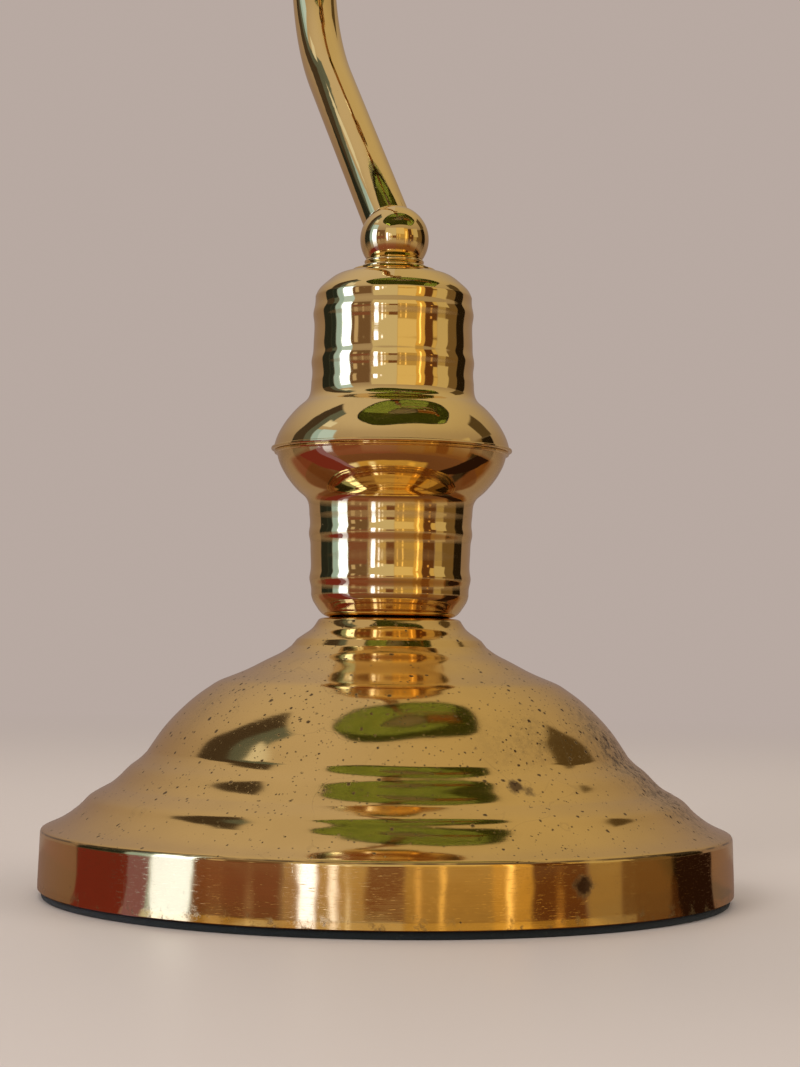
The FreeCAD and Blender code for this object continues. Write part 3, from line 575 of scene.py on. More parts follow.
# A plain metal: two tones in patches, its roughness bright and dull, and its fine grain
def bare_metal(name, bright, dull, patches, clean, roughness, grain, relief):
    def varied(place):
        worn = place.noise(*patches).rise(*clean)
        return {"Base Color": worn.mix(bright, dull), "Roughness": roughness + worn * 0.2,
                "Normal": place.noise(*grain).bump(relief, fine_relief)}

    return finish_of(name, {"Metallic": 1.0}, varied)


def cast_metal():
    def varied(place):
        grain = place.noise(900.0, 5.0, 0.7)
        rust = place.noise(90.0, 4.0, 0.6).rise(0.55, 0.72)
        return {"Base Color": rust.mix((0.10, 0.10, 0.10), (0.16, 0.085, 0.05)),
                "Roughness": 0.7 + grain * 0.2,
                "Normal": grain.bump(0.8, 0.0002)}

    return finish_of("raw cast iron", {"Metallic": 0.5}, varied)


def pressed_felt():
    colours = bpy.context.scene.lamp_finishes

    def varied(place):
        fibres = place.noise(3200.0, 5.0, 0.75, 0.6)
        lint = place.noise(700.0, 4.0, 0.7).rise(0.62, 0.74)
        mixed = fibres.rise(0.35, 0.7)
        dark = [part * 0.55 for part in colours.felt]
        colour = (lint * 0.35).mix(mixed.mix(dark, colours.felt), (0.12, 0.13, 0.11))
        return {"Base Color": colour, "Roughness": 0.92 + mixed * 0.06,
                "Normal": fibres.bump(0.9, 0.0004)}

    return finish_of("pressed felt", {"Sheen Weight": 0.1, "Sheen Roughness": 0.6}, varied)


def green_glass():
    colours = bpy.context.scene.lamp_finishes

    def varied(place):
        cords = place.stretched((0.35, 1, 1)).noise(38.0, 3.0, 0.5, 0.4)
        depth = cords.rise(0.3, 0.7)
        deep = [part * 0.8 for part in colours.glass]
        seeds = specks(place, 0.009, 0.00035, 0.4, 0.02)
        return {"Base Color": depth.mix(colours.glass, deep),
                "Roughness": 0.03 + seeds * 0.1,
                "Normal": (cords * 8.0 + seeds).bump(0.5, 0.00003)}

    fixed = {"Transmission Weight": 0.9, "IOR": 1.5, "Metallic": 0.0}
    return finish_of("emerald glass", fixed, varied)


def frosted_glass():
    def varied(place):
        frost = place.noise(1600.0, 3.0, 0.6)
        cloud = place.noise(60.0, 3.0)
        return {"Base Color": cloud.mix((0.95, 0.93, 0.88), (0.90, 0.88, 0.83)),
                "Roughness": 0.42 + frost * 0.12,
                "Normal": frost.bump(0.3, fine_relief * 3)}

    return finish_of("frosted glass", {"Transmission Weight": 0.8, "IOR": 1.45}, varied)


def moulded(name, colour, roughness):
    def varied(place):
        grain = place.noise(1300.0, 3.0, 0.6)
        cloud = place.noise(80.0, 3.0)
        return {"Base Color": cloud.mix(colour, [part * 0.85 + 0.002 for part in colour]),
                "Roughness": roughness + grain * 0.12,
                "Normal": grain.bump(0.4, 0.00005)}

    return finish_of(name, {}, varied)


# Each material slot's finish: what makes it, and what that is given
finishes = {
    "polished_brass": (column_brass,),
    "satin_brass": (base_brass,),
    "plain_brass": (bare_metal, "machined brass", (0.66, 0.47, 0.22), (0.48, 0.32, 0.14),
                    (180.0, 4.0, 0.6), (0.35, 0.7), 0.2, (2400.0, 2.0), 0.3),
    "zinc_steel": (bare_metal, "zinc plated steel", (0.62, 0.63, 0.64), (0.46, 0.46, 0.44),
                   (140.0, 4.0, 0.6), (0.35, 0.7), 0.26, (1800.0, 3.0), 0.25),
    "bulb_metal": (bare_metal, "rolled metal of the bulb cap", (0.78, 0.78, 0.79), (0.6, 0.6, 0.6),
                   (200.0, 3.0), (0.4, 0.7), 0.22, (1500.0, 2.0), 0.2),
    "cast_iron": (cast_metal,),
    "felt": (pressed_felt,),
    "green_glass": (green_glass,),
    "frosted_glass": (frosted_glass,),
    "washer_plastic": (moulded, "pale washer plastic", (0.78, 0.75, 0.66), 0.42),
    "black_plastic": (moulded, "black moulded plastic", (0.022, 0.022, 0.024), 0.26),
    "holder_plastic": (moulded, "dark heatproof moulding", (0.06, 0.05, 0.042), 0.5),
    "gasket_rubber": (moulded, "black gasket rubber", (0.045, 0.045, 0.045), 0.66),
    "lead_sheath": (moulded, "pale gold lead sheath", (0.60, 0.50, 0.30), 0.38)}


def finish_for(node):
    maker, *given = finishes[slots[node]]
    return maker(*given)


class LAMP_OT_base_shell(bpy.types.Operator):
    """Spun brass shell of the base, with its ogee, its ring lines and its rim"""
    bl_idname = "lamp.base_shell"
    bl_label = "Base shell"

    def execute(self, context):
        sizes = context.scene.lamp_sizes
        rim_radius = base_high.x
        rim_draft = 0.0004
        rim_top_radius = rim_radius - rim_draft
        top = base_high.z
        width = rim_top_radius - sizes.neck_radius
        height = top - sizes.rim_height

        def stretch(shares):
            return smooth([(sizes.neck_radius + across * width, sizes.rim_height + up * height)
                           for across, up in shares])

        neck_round = 0.0014
        rim_corner = 0.0008
        neck_edge = (sizes.neck_radius - neck_round, top)
        neck_mid = (sizes.neck_radius - neck_round * 0.3, top - neck_round * 0.3)
        cove = stretch(neck_cove_shares)
        brim = stretch(brim_shares)
        rim_side = (rim_top_radius, sizes.rim_height - rim_corner)
        rim_mid = (rim_top_radius - rim_corner * 0.3, sizes.rim_height - rim_corner * 0.02)
        foot_height = 0.002
        foot = (rim_radius, base_low.z + foot_height)
        outside = straight((stem_hole_radius, top), neck_edge)
        outside += smooth([neck_edge, neck_mid, cove[0]]) + cove
        foot_cove = stretch(foot_cove_shares)
        outside += straight(cove[-1], foot_cove[0]) + foot_cove
        for shares in (upper_ring_shares, lower_ring_shares):
            outside += stretch(shares)
        outside += brim + smooth([brim[-1], rim_mid, rim_side]) + straight(rim_side, foot)
        outside += straight(foot, (rim_radius, base_low.z + wall_round))
        outside.append((rim_radius - wall_round, base_low.z))
        outside = without_repeats(outside)
        wall = sizes.brass_wall
        inside = [(radius - wall, max(up - wall, base_low.z)) for radius, up in outside[::5] + outside[-1:]]
        made = turned(outside + inside[::-1])
        shell = piece(made, "base_dome_and_rim", "base_shell", finish_for("base_shell"))
        bushing_low, bushing_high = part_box("cord_bushing")
        inlet = (bushing_low + bushing_high) / 2
        inlet_radius = 0.00465
        reach = Vector((0, 0.01, 0))
        rim_rear = Vector((0, rim_radius, inlet.z))
        bored(shell, inlet_radius, rim_rear - reach, rim_rear + reach)
        return {"FINISHED"}


class LAMP_OT_felt_pad(bpy.types.Operator):
    """Felt pad that the base stands on"""
    bl_idname = "lamp.felt_pad"
    bl_label = "Felt pad"

    def execute(self, context):
        low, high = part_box("felt_pad")
        outline = eased([(0.0, low.z), (high.x, low.z), (high.x, high.z), (0.0, high.z)], 0.0005)
        made = turned(outline, closed=False)
        pad = piece(made, "felt_disc", "felt_pad", finish_for("felt_pad"))
        return {"FINISHED"}


# Outline of a cup from its floor; side is 1 where the floor is below the lip
def cup_outline(floor_z, side, height, floor_radius, lip_radius, hole_radius, sizes):
    reach = height - sizes.cup_wall
    lip_width = 0.001
    flare_end = lip_radius - lip_width
    tube_start = cup_tube_shares[0][0] * sizes.cup_radius
    corner_width = tube_start - floor_radius
    corner = smooth([(floor_radius + across * corner_width, up * cup_tube_shares[0][1] * reach)
                     for across, up in cup_corner_shares])
    tube = smooth([(across * sizes.cup_radius, up * reach) for across, up in cup_tube_shares])
    flare = smooth([(sizes.cup_radius + across * (flare_end - sizes.cup_radius), up * reach)
                    for across, up in cup_flare_shares])
    outside = straight((hole_radius, 0.0), corner[0]) + corner + tube + flare
    wall = sizes.cup_wall
    inside = [(radius - wall, up + wall) for radius, up in outside[::3] + outside[-1:]]
    inside[0] = (hole_radius, wall)
    lip = [(lip_radius - worn_off, reach + wall * share) for worn_off, share in cup_lip]
    line = without_repeats(outside + lip + inside[::-1])
    return [(radius, floor_z + side * up) for radius, up in line]


class LAMP_OT_cups(bpy.types.Operator):
    """The two turned cups of the column"""
    bl_idname = "lamp.cups"
    bl_label = "Column cups"

    def execute(self, context):
        lower_height = lower_high.z - lower_low.z
        upper_height = upper_high.z - upper_low.z
        for node, floor_z, side, height, floor_radius, lip_radius, hole_radius in (
                ("lower_cup", lower_low.z, 1, lower_height, 0.0155, lower_high.x, stem_hole_radius),
                ("upper_cup", upper_high.z, -1, upper_height, 0.0114, upper_high.x, 0.0087)):
            line = cup_outline(floor_z, side, height, floor_radius, lip_radius, hole_radius,
                               context.scene.lamp_sizes)
            piece(turned(line, cup_turn_steps), "turned_" + node, node, finish_for(node))
        return {"FINISHED"}


class LAMP_OT_swivel(bpy.types.Operator):
    """Beaded collar and ball of the swivel"""
    bl_idname = "lamp.swivel"
    bl_label = "Swivel"

    def execute(self, context):
        column_top = upper_high.z
        top = collar_high.z
        foot_height = 0.0007
        bead_height = 0.0014
        foot_top = column_top + foot_height
        bead_top = foot_top + bead_height
        foot_radius = 0.0112
        foot_round = 0.0003
        step_radius = 0.0088
        groove_radius = 0.0074
        lower_bead_radius = 0.00875
        upper_bead_radius = 0.0079
        outside = [(foot_radius - foot_round, column_top), (foot_radius, column_top + foot_round),
                   (foot_radius - wall_round, foot_top), (step_radius, foot_top)]
        outside += smooth([(step_radius - foot_round, foot_top),
                           (lower_bead_radius, (foot_top + bead_top) / 2), (groove_radius, bead_top)])
        outside += smooth([(groove_radius, bead_top), (upper_bead_radius, (bead_top + top) / 2),
                           (groove_radius, top)])
        bore = 0.00505
        cavity_radius = 0.007
        cavity_depth = 0.011
        cavity_top = collar_low.z + cavity_depth
        spigot_radius = 0.0084
        inside = [(bore, top), (bore, cavity_top), (cavity_radius, cavity_top),
                  (cavity_radius, collar_low.z), (spigot_radius, collar_low.z), (spigot_radius, column_top)]
        made = turned(outside + inside, small_turn_steps * 2)
        piece(made, "beaded_collar", "swivel_collar", finish_for("swivel_collar"))

        radius = 0.0091
        running_gap = 0.00005
        spigot = 0.005
        arc_points = 64
        seat = top + running_gap
        start = math.asin((seat - ball_centre.z) / radius)
        arc = [(radius * math.cos(swing), ball_centre.z + radius * math.sin(swing))
               for swing in np.linspace(start, math.pi / 2, arc_points)]
        outline = [(0.0, ball_low.z), (spigot, ball_low.z), (spigot, seat)] + arc[:-1]
        outline.append((0.0, ball_centre.z + radius))
        made = turned(outline, small_turn_steps * 2, closed=False)
        piece(made, "swivel_ball_turned", "swivel_ball", finish_for("swivel_ball"))
        return {"FINISHED"}


# Sweeps a ring of points along the arm: straight, bend, straight, crook, straight
def arm_skin(made, radius, start, heading, knee, bend_radius, crook, crook_radius, end):
    ring = bmesh.ops.create_circle(made, cap_ends=False, segments=tube_sides, radius=radius)["verts"]
    turn = Vector((0, 0, 1)).rotation_difference(heading).to_matrix().to_4x4()
    bmesh.ops.transform(made, matrix=Matrix.Translation(start) @ turn, verts=ring)
    edges = list({edge for vert in ring for edge in vert.link_edges})
    lean = math.asin(heading.y)
    setback = bend_radius * math.tan(lean / 2)
    corner_run = (knee - start).length - setback
    edges = run_on(made, edges, heading * corner_run)
    centre = knee + Vector((0, 0, setback)) - Vector((0, bend_radius, 0))
    edges = turn_on(made, edges, centre, lean)
    rise = crook.z - crook_radius - (knee.z + setback)
    edges = run_on(made, edges, Vector((0, 0, rise)))
    edges = turn_on(made, edges, Vector((0, crook.y - crook_radius, crook.z - crook_radius)), math.pi / 2)
    run_on(made, edges, Vector((0, end - (crook.y - crook_radius), 0)))


def run_on(made, edges, reach):
    grown = bmesh.ops.extrude_edge_only(made, edges=edges)["geom"]
    ring = [item for item in grown if isinstance(item, bmesh.types.BMVert)]
    bmesh.ops.translate(made, vec=reach, verts=ring)
    return [item for item in grown if isinstance(item, bmesh.types.BMEdge)
            and all(vert in grown for vert in item.verts)]


def turn_on(made, edges, centre, angle):
    verts = list({vert for edge in edges for vert in edge.verts})
    made_last = bmesh.ops.spin(made, geom=verts + edges, cent=centre, axis=(1, 0, 0), angle=angle,
                               steps=bend_steps)["geom_last"]
    return [item for item in made_last if isinstance(item, bmesh.types.BMEdge)]


class LAMP_OT_arm(bpy.types.Operator):
    """Bent brass tube of the arm"""
    bl_idname = "lamp.arm"
    bl_label = "Arm tube"

    def execute(self, context):
        sizes = context.scene.lamp_sizes
        lean = math.radians(41.0)
        heading = Vector((0, math.sin(lean), math.cos(lean)))
        setback = tube_high.y - sizes.tube_radius
        knee = Vector((0, setback, ball_centre.z + setback / math.tan(lean)))
        crook = Vector((0, setback, tilt_centre.z))
        seat_depth = 0.0066
        knee_bend = 0.062
        crook_bend = 0.036
        fork_overlap = 0.006
        tube_wall = 0.001
        made = bmesh.new()
        arm_skin(made, sizes.tube_radius, ball_centre + heading * seat_depth, heading, knee, knee_bend,
                 crook, crook_bend, fork_high.y - fork_overlap)
        bmesh.ops.recalc_face_normals(made, faces=made.faces)
        walled(piece(made, "bent_arm_tube", "arm_tube", finish_for("arm_tube")), tube_wall, wall_round)
        return {"FINISHED"}


# Powers of the shade's rounded outlines: seen from above, along it and across it
plan_power = 3.4
long_power = 3.2
deep_power = 2.8
crown_share = 0.994
crown_setback = 0.008


# Outer skin of the shade: rings of a rounded rectangle that close over the crown
def shade_skin(rings=44, sides=256):
    made = bmesh.new()
    centre = (glass_low + glass_high) / 2
    half = (glass_high - glass_low) / 2
    height = glass_high.z - glass_low.z
    ring = bmesh.ops.create_circle(made, cap_ends=False, segments=sides, radius=1.0)["verts"]
    for vert in ring:
        vert.co.x = math.copysign(abs(vert.co.x) ** (2 / plan_power), vert.co.x)
        vert.co.y = math.copysign(abs(vert.co.y) ** (2 / plan_power), vert.co.y)
    edges = list(made.edges)
    for index in range(rings + 1):
        rise = math.sin(math.pi / 2 * min(index / rings, crown_share))
        long_share = (1 - rise ** long_power) ** (1 / long_power)
        deep_share = (1 - rise ** deep_power) ** (1 / deep_power)
        flat = [vert.co.copy() for vert in ring]
        for vert in ring:
            vert.co = Vector((centre.x + half.x * long_share * vert.co.x,
                              centre.y + crown_setback * rise + half.y * deep_share * vert.co.y,
                              glass_low.z + height * rise))
        if index < rings:
            grown = bmesh.ops.extrude_edge_only(made, edges=edges)["geom"]
            fresh = [item for item in grown if isinstance(item, bmesh.types.BMVert)]
            below = {tuple(vert.co): spot for vert, spot in zip(ring, flat)}
            for vert in fresh:
                vert.co = below[tuple(vert.co)]
            ring = fresh
            edges = [item for item in grown if isinstance(item, bmesh.types.BMEdge)
                     and all(vert in fresh for vert in item.verts)]
    bmesh.ops.contextual_create(made, geom=edges)
    bmesh.ops.recalc_face_normals(made, faces=made.faces)
    return made


class LAMP_OT_shade(bpy.types.Operator):
    """Green glass shade"""
    bl_idname = "lamp.shade"
    bl_label = "Glass shade"

    def execute(self, context):
        glass = piece(shade_skin(), "green_glass_shade", "shade_glass", finish_for("shade_glass"))
        glass_round = 0.0009
        hole_radius = 0.0055
        reach = Vector((0, 0.02, 0))
        rear = Vector((0, glass_high.y, tilt_centre.z))
        walled(glass, context.scene.lamp_sizes.glass_wall, glass_round)
        bored(glass, hole_radius, rear - reach, rear + reach)
        return {"FINISHED"}


class LAMP_OT_bulb(bpy.types.Operator):
    """Frosted candle bulb"""
    bl_idname = "lamp.bulb"
    bl_label = "Bulb"

    def execute(self, context):
        start = Vector((bulb_high.x, (bulb_low.y + bulb_high.y) / 2, tilt_centre.z))
        length = bulb_high.x - bulb_low.x
        radius = (bulb_high.y - bulb_low.y) / 2
        neck = 0.0064
        overlap = 0.004
        bulb_wall = 0.0008
        shape = smooth([(neck, overlap)] + [(across * radius, along * length)
                                            for across, along in bulb_shares] + [(0.0, length)])
        made = turned([(neck, 0.0)] + shape[:-1] + [(0.0, length)], small_turn_steps, closed=False)
        laid(made, start, Vector((-1, 0, 0)))
        walled(piece(made, "candle_bulb", "bulb_glass", finish_for("bulb_glass")), bulb_wall, wall_round)
        return {"FINISHED"}


class LAMP_OT_holder(bpy.types.Operator):
    """Brass cap and shell of the lampholder"""
    bl_idname = "lamp.holder"
    bl_label = "Lampholder"

    def execute(self, context):
        axis_y = (shell_low.y + shell_high.y) / 2
        start = Vector((cap_high.x, axis_y, tilt_centre.z))
        away = Vector((-1, 0, 0))
        radius = (cap_high.z - cap_low.z) / 2
        length = cap_high.x - cap_low.x
        wall = 0.0007
        bore = 0.00505
        flat = 0.009
        fit_gap = 0.0001
        mouth_flare = 0.0006
        mouth_depth = 0.0014
        dome = smooth([(flat + across * (radius - flat), up * length) for across, up in holder_cap_shares])
        outside = straight((bore, 0.0), dome[0]) + dome
        outside += straight(dome[-1], (radius, length - wall_round))
        outside = without_repeats(outside)
        inside = [(max(across - wall, bore), min(along + wall, length)) for across, along in outside]
        made = laid(turned(outside + inside[::-1], small_turn_steps * 2), start, away)
        piece(made, "lampholder_cap", "holder_cap", finish_for("holder_cap"))

        shell_start = cap_high.x - shell_high.x
        shell_end = cap_high.x - shell_low.x
        shell_radius = radius - wall - fit_gap
        mouth = shell_radius + mouth_flare
        bead = shell_end - mouth_depth
        outside = straight((shell_radius, shell_start), (shell_radius, bead))
        outside += smooth([(shell_radius, bead), (mouth, bead + mouth_depth / 2),
                           (mouth - fit_gap, shell_end)])
        outside = without_repeats(outside)
        inside = [(across - wall, along) for across, along in outside]
        made = laid(turned(outside + inside[::-1], small_turn_steps * 2), start, away)
        piece(made, "lampholder_shell", "holder_shell", finish_for("holder_shell"))
        return {"FINISHED"}


worn_nodes = ("tilt_fork", "tilt_tongue", "tilt_knob", "tilt_screw", "shade_cup", "shade_ring_nut",
              "shade_inner_washer", "holder_bracket", "bracket_nuts", "holder_nut", "holder_nipple",
              "switch_knob", "switch_stem", "cord_bushing")


class LAMP_OT_hardware(bpy.types.Operator):
    """Machined and moulded hardware with its edges worn round"""
    bl_idname = "lamp.hardware"
    bl_label = "Hardware"

    def execute(self, context):
        for node in worn_nodes:
            worn_copy(node + "_worn", node, finish_for(node), context.scene.lamp_sizes.edge_round)
        return {"FINISHED"}


class LAMP_OT_inner_finishes(bpy.types.Operator):
    """Finishes of the pieces that keep their own shape"""
    bl_idname = "lamp.inner_finishes"
    bl_label = "Inner pieces"

    def execute(self, context):
        for name, node in frame["nodes"].items():
            node.data.materials.clear()
            node.data.materials.append(finish_for(name))
        return {"FINISHED"}


# Bands that the metal mirrors, later over earlier: their sides and heights in degrees, and their light
mirrored_bands = (
    (-31.0, 6.0, -8.0, 30.0, (0.62, 0.56, 0.43)),
    (-31.0, 6.0, -8.0, 4.0, (0.54, 0.39, 0.19)),
    (6.0, 47.0, -8.0, 30.0, (0.50, 0.34, 0.125)),
    (6.0, 34.0, 10.0, 30.0, (0.74, 0.58, 0.29)),
    (-118.0, -100.0, -8.0, 61.0, (0.060, 0.045, 0.036)),
    (-118.0, -100.0, -8.0, 20.0, (0.020, 0.024, 0.024)),
    (-101.0, -84.0, 50.0, 61.0, (0.12, 0.15, 0.16)),
    (-101.0, -91.0, -8.0, 51.0, (0.11, 0.135, 0.145)),
    (-101.0, -92.0, -8.0, 22.0, (0.022, 0.030, 0.032)),
    (-91.0, -81.0, -8.0, 36.0, (0.36, 0.58, 0.90)),
    (-91.0, -76.0, 42.0, 50.0, (0.74, 0.76, 0.80)),
    (-82.0, -63.0, -8.0, 37.0, (0.50, 0.75, 1.20)),
    (-79.2, -63.8, -8.0, 23.0, (2.5, 3.4, 6.6)),
    (-79.2, -63.8, -8.0, 4.0, (1.5, 2.15, 4.4)),
    (-62.0, -33.0, -8.0, 22.0, (0.17, 0.105, 0.070)),
    (-62.0, -33.0, -8.0, 4.0, (0.21, 0.090, 0.064)),
    (-58.0, -52.0, 5.0, 16.0, (0.55, 0.45, 0.36)),
    (-44.0, -42.0, 4.0, 9.0, (0.60, 0.50, 0.40)),
    (-31.0, -27.0, -8.0, 13.0, (0.46, 0.34, 0.24)),
    (-27.0, -21.5, -2.0, 13.0, (2.5, 3.1, 6.0)),
    (-17.0, -15.0, 1.0, 11.0, (2.1, 2.3, 3.6)),
    (-12.0, -10.5, 3.0, 9.0, (1.6, 1.6, 1.7)),
    (-6.0, 6.0, -8.0, 4.0, (0.17, 0.070, 0.033)),
    (9.5, 11.0, 1.0, 8.0, (1.1, 0.75, 0.3)),
    (17.0, 18.5, 0.0, 9.0, (1.5, 1.05, 0.4)),
    (34.0, 47.0, -8.0, 27.0, (0.74, 0.46, 0.115)),
    (38.5, 40.5, -4.0, 20.0, (2.2, 1.6, 0.7)),
    (47.0, 66.0, -8.0, 27.0, (0.12, 0.048, 0.018)),
    (60.0, 67.0, 10.0, 27.0, (0.62, 0.45, 0.18)),
    (55.0, 57.5, 4.0, 8.0, (0.9, 0.5, 0.15)),
    (67.0, 80.0, -8.0, 6.0, (0.40, 0.29, 0.13)),
    (67.0, 87.0, 5.0, 27.0, (0.56, 0.46, 0.27)),
    (80.0, 105.0, -8.0, 6.0, (0.17, 0.105, 0.045)),
    (86.0, 105.0, 5.0, 24.0, (0.17, 0.110, 0.050)),
    (106.0, 129.0, 24.0, 42.0, (0.090, 0.062, 0.030)),
    (104.0, 124.0, -8.0, 24.0, (0.016, 0.010, 0.005)))
band_blur = 1.0
mirrored_horizon = (0.27, 0.195, 0.165)
mirrored_ceiling = ((0.57, 0.50, 0.43), (0.54, 0.45, 0.29))
ceiling_sides = (-60.0, 60.0)
ceiling_lift = 62.0

# What the metal mirrors on the floor, a painted reflection of the room with painted window glints and dark
# patches: sides in degrees, distances from the lamp in metres, and colour
floor_patches_and_glints = (
    (-128.0, 128.0, 0.0, 0.195, (0.13, 0.048, 0.020)),
    (-40.0, 42.0, 0.100, 0.124, (0.50, 0.32, 0.08)),
    (-58.0, -40.0, 0.100, 0.120, (0.75, 0.72, 0.62)),
    (-26.0, -19.0, 0.100, 0.118, (0.85, 0.78, 0.60)),
    (20.0, 28.0, 0.102, 0.116, (0.80, 0.52, 0.12)),
    (86.0, 101.0, 0.105, 0.400, (0.015, 0.006, 0.003)))
# Glowing painted patches that the rim mirrors, for things beside the lamp: headings of the sight lines
# beside them, reach in metres, and light
glowing_near_things = (
    (-117.0, -88.5, 0.420, (0.170, 0.030, 0.026)),
    (-88.5, -79.6, 0.420, (0.25, 0.130, 0.230)),
    (106.0, 130.0, 0.400, (0.020, 0.008, 0.005)))
floor_left = (0.17, 0.050, 0.030)
floor_right = (0.16, 0.060, 0.015)
floor_away = (0.27, 0.20, 0.16)
floor_reach = (0.34, 0.60)
floor_turn = (-10.0, 20.0)
floor_radius = 4.0
floor_roughness = 0.5
mirrored_roughness = 0.08
front_side = 128.0
# Blurs of what the floor shows: in degrees, at a patch's edge, at a thing's reach and at a sight line
patch_blur = 3.0
patch_edge = 0.004
reach_blur = 0.01
sight_blur = 0.001
# Distances over which the floor turns into the backdrop, and the light of the plain room
backdrop_reach = (0.3, 1.5)
plain_light = (0.62, 0.60, 0.58)
# The studio's lamps, which no metal mirrors: place, size, power and colour, and where they point
studio_lamps = (
    ("window_light", (-1.3, -0.9, 1.1), 0.9, 16.0, (1.0, 0.98, 0.95)),
    ("fill_light", (1.2, -1.0, 1.3), 1.2, 9.0, (1.0, 0.93, 0.84)),
    ("top_light", (0.0, 0.2, 1.8), 1.4, 10.0, (1.0, 0.97, 0.93)))
lit_place = Vector((0, 0, 0.12))
# Width of the camera's sensor in millimetres, to which the lens belongs
sensor_width = 36.0

# The room's front, from which the mirrored sides are counted
room_front = Vector((-math.sin(view_heading), -math.cos(view_heading)))
room_right = Vector((-room_front.y, room_front.x))


# How far a place or direction lies towards the room's front, and to its right
def parted(flow):
    across = flow.part("X")
    along = flow.part("Y")
    return (across * room_front.x + along * room_front.y, across * room_right.x + along * room_right.y)


# How far a place lies to one side of the sight line that leaves the rim with this heading
def past_line(place, heading):
    ahead, sideways = parted(place)
    angle = math.radians(heading)
    return ahead * math.sin(angle) - sideways * math.cos(angle) - base_high.x * math.sin(angle / 2)


# The side on which a place or direction lies, in degrees from the room's front
def compass(flow):
    ahead, sideways = parted(flow)
    return sideways.arctan2(ahead) * degrees


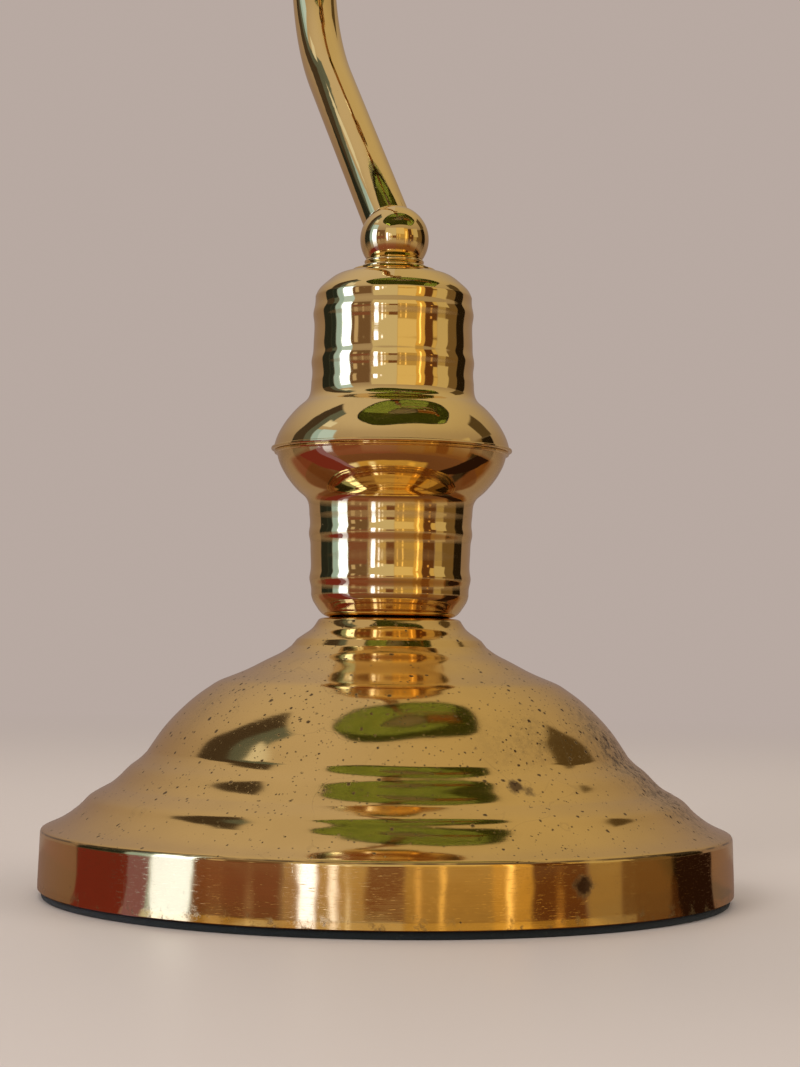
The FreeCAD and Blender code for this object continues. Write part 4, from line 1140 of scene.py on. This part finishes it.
class LAMP_OT_stage(bpy.types.Operator):
    """Floor, backdrop, lights and camera"""
    bl_idname = "lamp.stage"
    bl_label = "Stage"

    def execute(self, context):
        settings = context.scene.lamp_stage
        context.scene.view_settings.view_transform = "Standard"
        self.lay_floor(settings)
        self.light_world(context.scene, settings)
        self.hang_lamps()
        self.place_camera(context.scene, settings)
        return {"FINISHED"}

    def lay_floor(self, settings):
        made = bmesh.new()
        bmesh.ops.create_circle(made, cap_ends=True, segments=turn_steps, radius=floor_radius)
        mesh = mesh_of(made, "floor")
        floor = in_scene("floor", mesh)
        material = bpy.data.materials.new("plain floor")
        material.use_nodes = True
        tree = material.node_tree
        shader = tree.nodes["Principled BSDF"]
        place = Flow(tree).node("TexCoord", output="Object")
        mirrored = place.node("LightPath", output="Is Glossy Ray")
        turn = compass(place)
        away = from_axis(place)
        # The floor's colour for mirrored rays only: a painted reflection of the room, with painted window
        # glints among its patches
        seen_in_metal = turn.rise(*floor_turn).mix(floor_left, floor_right)
        around_front = turn.band(-front_side, front_side, 2 * patch_blur)
        around_front = around_front * away.rise(floor_reach[1], floor_reach[0])
        seen_in_metal = around_front.mix(floor_away, seen_in_metal)
        for low, high, inner, outer, colour in floor_patches_and_glints:
            patch = turn.band(low, high, patch_blur) * away.band(inner, outer, patch_edge)
            seen_in_metal = patch.mix(seen_in_metal, colour)
        colour = mirrored.mix(settings.floor, seen_in_metal)
        plug(shader.inputs["Base Color"], colour)
        smoother = floor_roughness - mirrored_roughness
        plug(shader.inputs["Roughness"], floor_roughness - mirrored * smoother)
        ground = Flow(tree, shader.outputs[0])
        # Glowing painted reflections of things beside the lamp, seen only by mirrored rays
        for low, high, reach, light in glowing_near_things:
            inside = (turn.band(min(low, low / 2), max(high, high / 2), patch_blur)
                      * away.rise(reach + reach_blur, reach)
                      * past_line(place, low).rise(sight_blur, -sight_blur)
                      * past_line(place, high).rise(-sight_blur, sight_blur) * mirrored)
            thing = inside.node("Emission", None, {"Color": light, "Strength": 1.0})
            ground = inside.node("MixShader", None, {0: inside, 1: ground, 2: thing})
        far = away.rise(*backdrop_reach)
        backdrop = far.node("Emission", None, {"Color": settings.wall, "Strength": 1.0})
        seen = 1 - mirrored
        mixed = far.node("MixShader", None, {0: far * seen, 1: ground, 2: backdrop})
        tree.links.new(mixed.socket, tree.nodes["Material Output"].inputs["Surface"])
        mesh.materials.append(material)

    def light_world(self, scene, settings):
        world = bpy.data.worlds.new("room")
        scene.world = world
        world.use_nodes = True
        tree = world.node_tree
        shader = tree.nodes["Background"]
        heading = Flow(tree).node("TexCoord", output="Generated")
        lift = heading.part("Z").math("ARCSINE") * degrees
        turn = compass(heading)
        glossy = heading.node("LightPath", output="Is Glossy Ray")
        camera = heading.node("LightPath", output="Is Camera Ray")
        through = heading.node("LightPath", output="Is Transmission Ray")
        ceiling = turn.rise(*ceiling_sides).mix(*mirrored_ceiling)
        room = lift.rise(0.0, ceiling_lift).mix(mirrored_horizon, ceiling)
        for low, high, bottom, top, colour in mirrored_bands:
            room = (turn.band(low, high, band_blur) * lift.band(bottom, top, band_blur)).mix(room, colour)
        plain = (camera + through).clamped().mix(plain_light, settings.wall)
        plug(shader.inputs["Color"], glossy.mix(plain, room))

    def hang_lamps(self):
        for name, place, size, power, colour in studio_lamps:
            light = bpy.data.lights.new(name, "AREA")
            light.shape = "DISK"
            light.size = size
            light.energy = power
            light.color = colour
            lamp = in_scene(name, light)
            lamp.location = place
            lamp.rotation_mode = "QUATERNION"
            lamp.rotation_quaternion = (lit_place - Vector(place)).to_track_quat("-Z", "Y")
            lamp.visible_glossy = False

    def place_camera(self, scene, settings):
        eye = bpy.data.cameras.new("camera")
        eye.sensor_width = sensor_width
        eye.lens = settings.lens
        camera = in_scene("camera", eye)
        scene.camera = camera
        azimuth = settings.camera_azimuth
        pitch = settings.camera_pitch
        level = math.cos(pitch)
        heading = Vector((math.sin(azimuth) * level, math.cos(azimuth) * level, math.sin(pitch)))
        camera.location = settings.camera_place
        camera.rotation_mode = "QUATERNION"
        aim = heading.to_track_quat("-Z", "Y")
        camera.rotation_quaternion = aim @ Quaternion((0, 0, 1), settings.camera_roll)


class LAMP_PT_panel(bpy.types.Panel):
    """The lamp's pieces, in the order in which they are built"""
    bl_idname = "LAMP_PT_panel"
    bl_label = "Desk lamp"
    bl_space_type = "VIEW_3D"
    bl_region_type = "UI"
    bl_category = "Lamp"

    def draw(self, context):
        for group in (context.scene.lamp_sizes, context.scene.lamp_finishes, context.scene.lamp_stage):
            for name in group.bl_rna.properties.keys():
                if name not in ("rna_type", "name"):
                    self.layout.prop(group, name)
        for operator in operators:
            self.layout.operator(operator.bl_idname)


operators = (LAMP_OT_inner_finishes, LAMP_OT_base_shell, LAMP_OT_felt_pad, LAMP_OT_cups, LAMP_OT_swivel,
             LAMP_OT_arm, LAMP_OT_shade, LAMP_OT_bulb, LAMP_OT_holder, LAMP_OT_hardware, LAMP_OT_stage)
classes = (LampSizes, LampFinishes, StageSettings) + operators + (LAMP_PT_panel,)


def register():
    for item in classes:
        bpy.utils.register_class(item)
    bpy.types.Scene.lamp_sizes = bpy.props.PointerProperty(type=LampSizes)
    bpy.types.Scene.lamp_finishes = bpy.props.PointerProperty(type=LampFinishes)
    bpy.types.Scene.lamp_stage = bpy.props.PointerProperty(type=StageSettings)


def unregister():
    del bpy.types.Scene.lamp_stage
    del bpy.types.Scene.lamp_finishes
    del bpy.types.Scene.lamp_sizes
    for item in reversed(classes):
        bpy.utils.unregister_class(item)


def main():
    register()
    for operator in operators:
        group, name = operator.bl_idname.split(".")
        getattr(getattr(bpy.ops, group), name)()


if __name__ == "__main__":
    main()
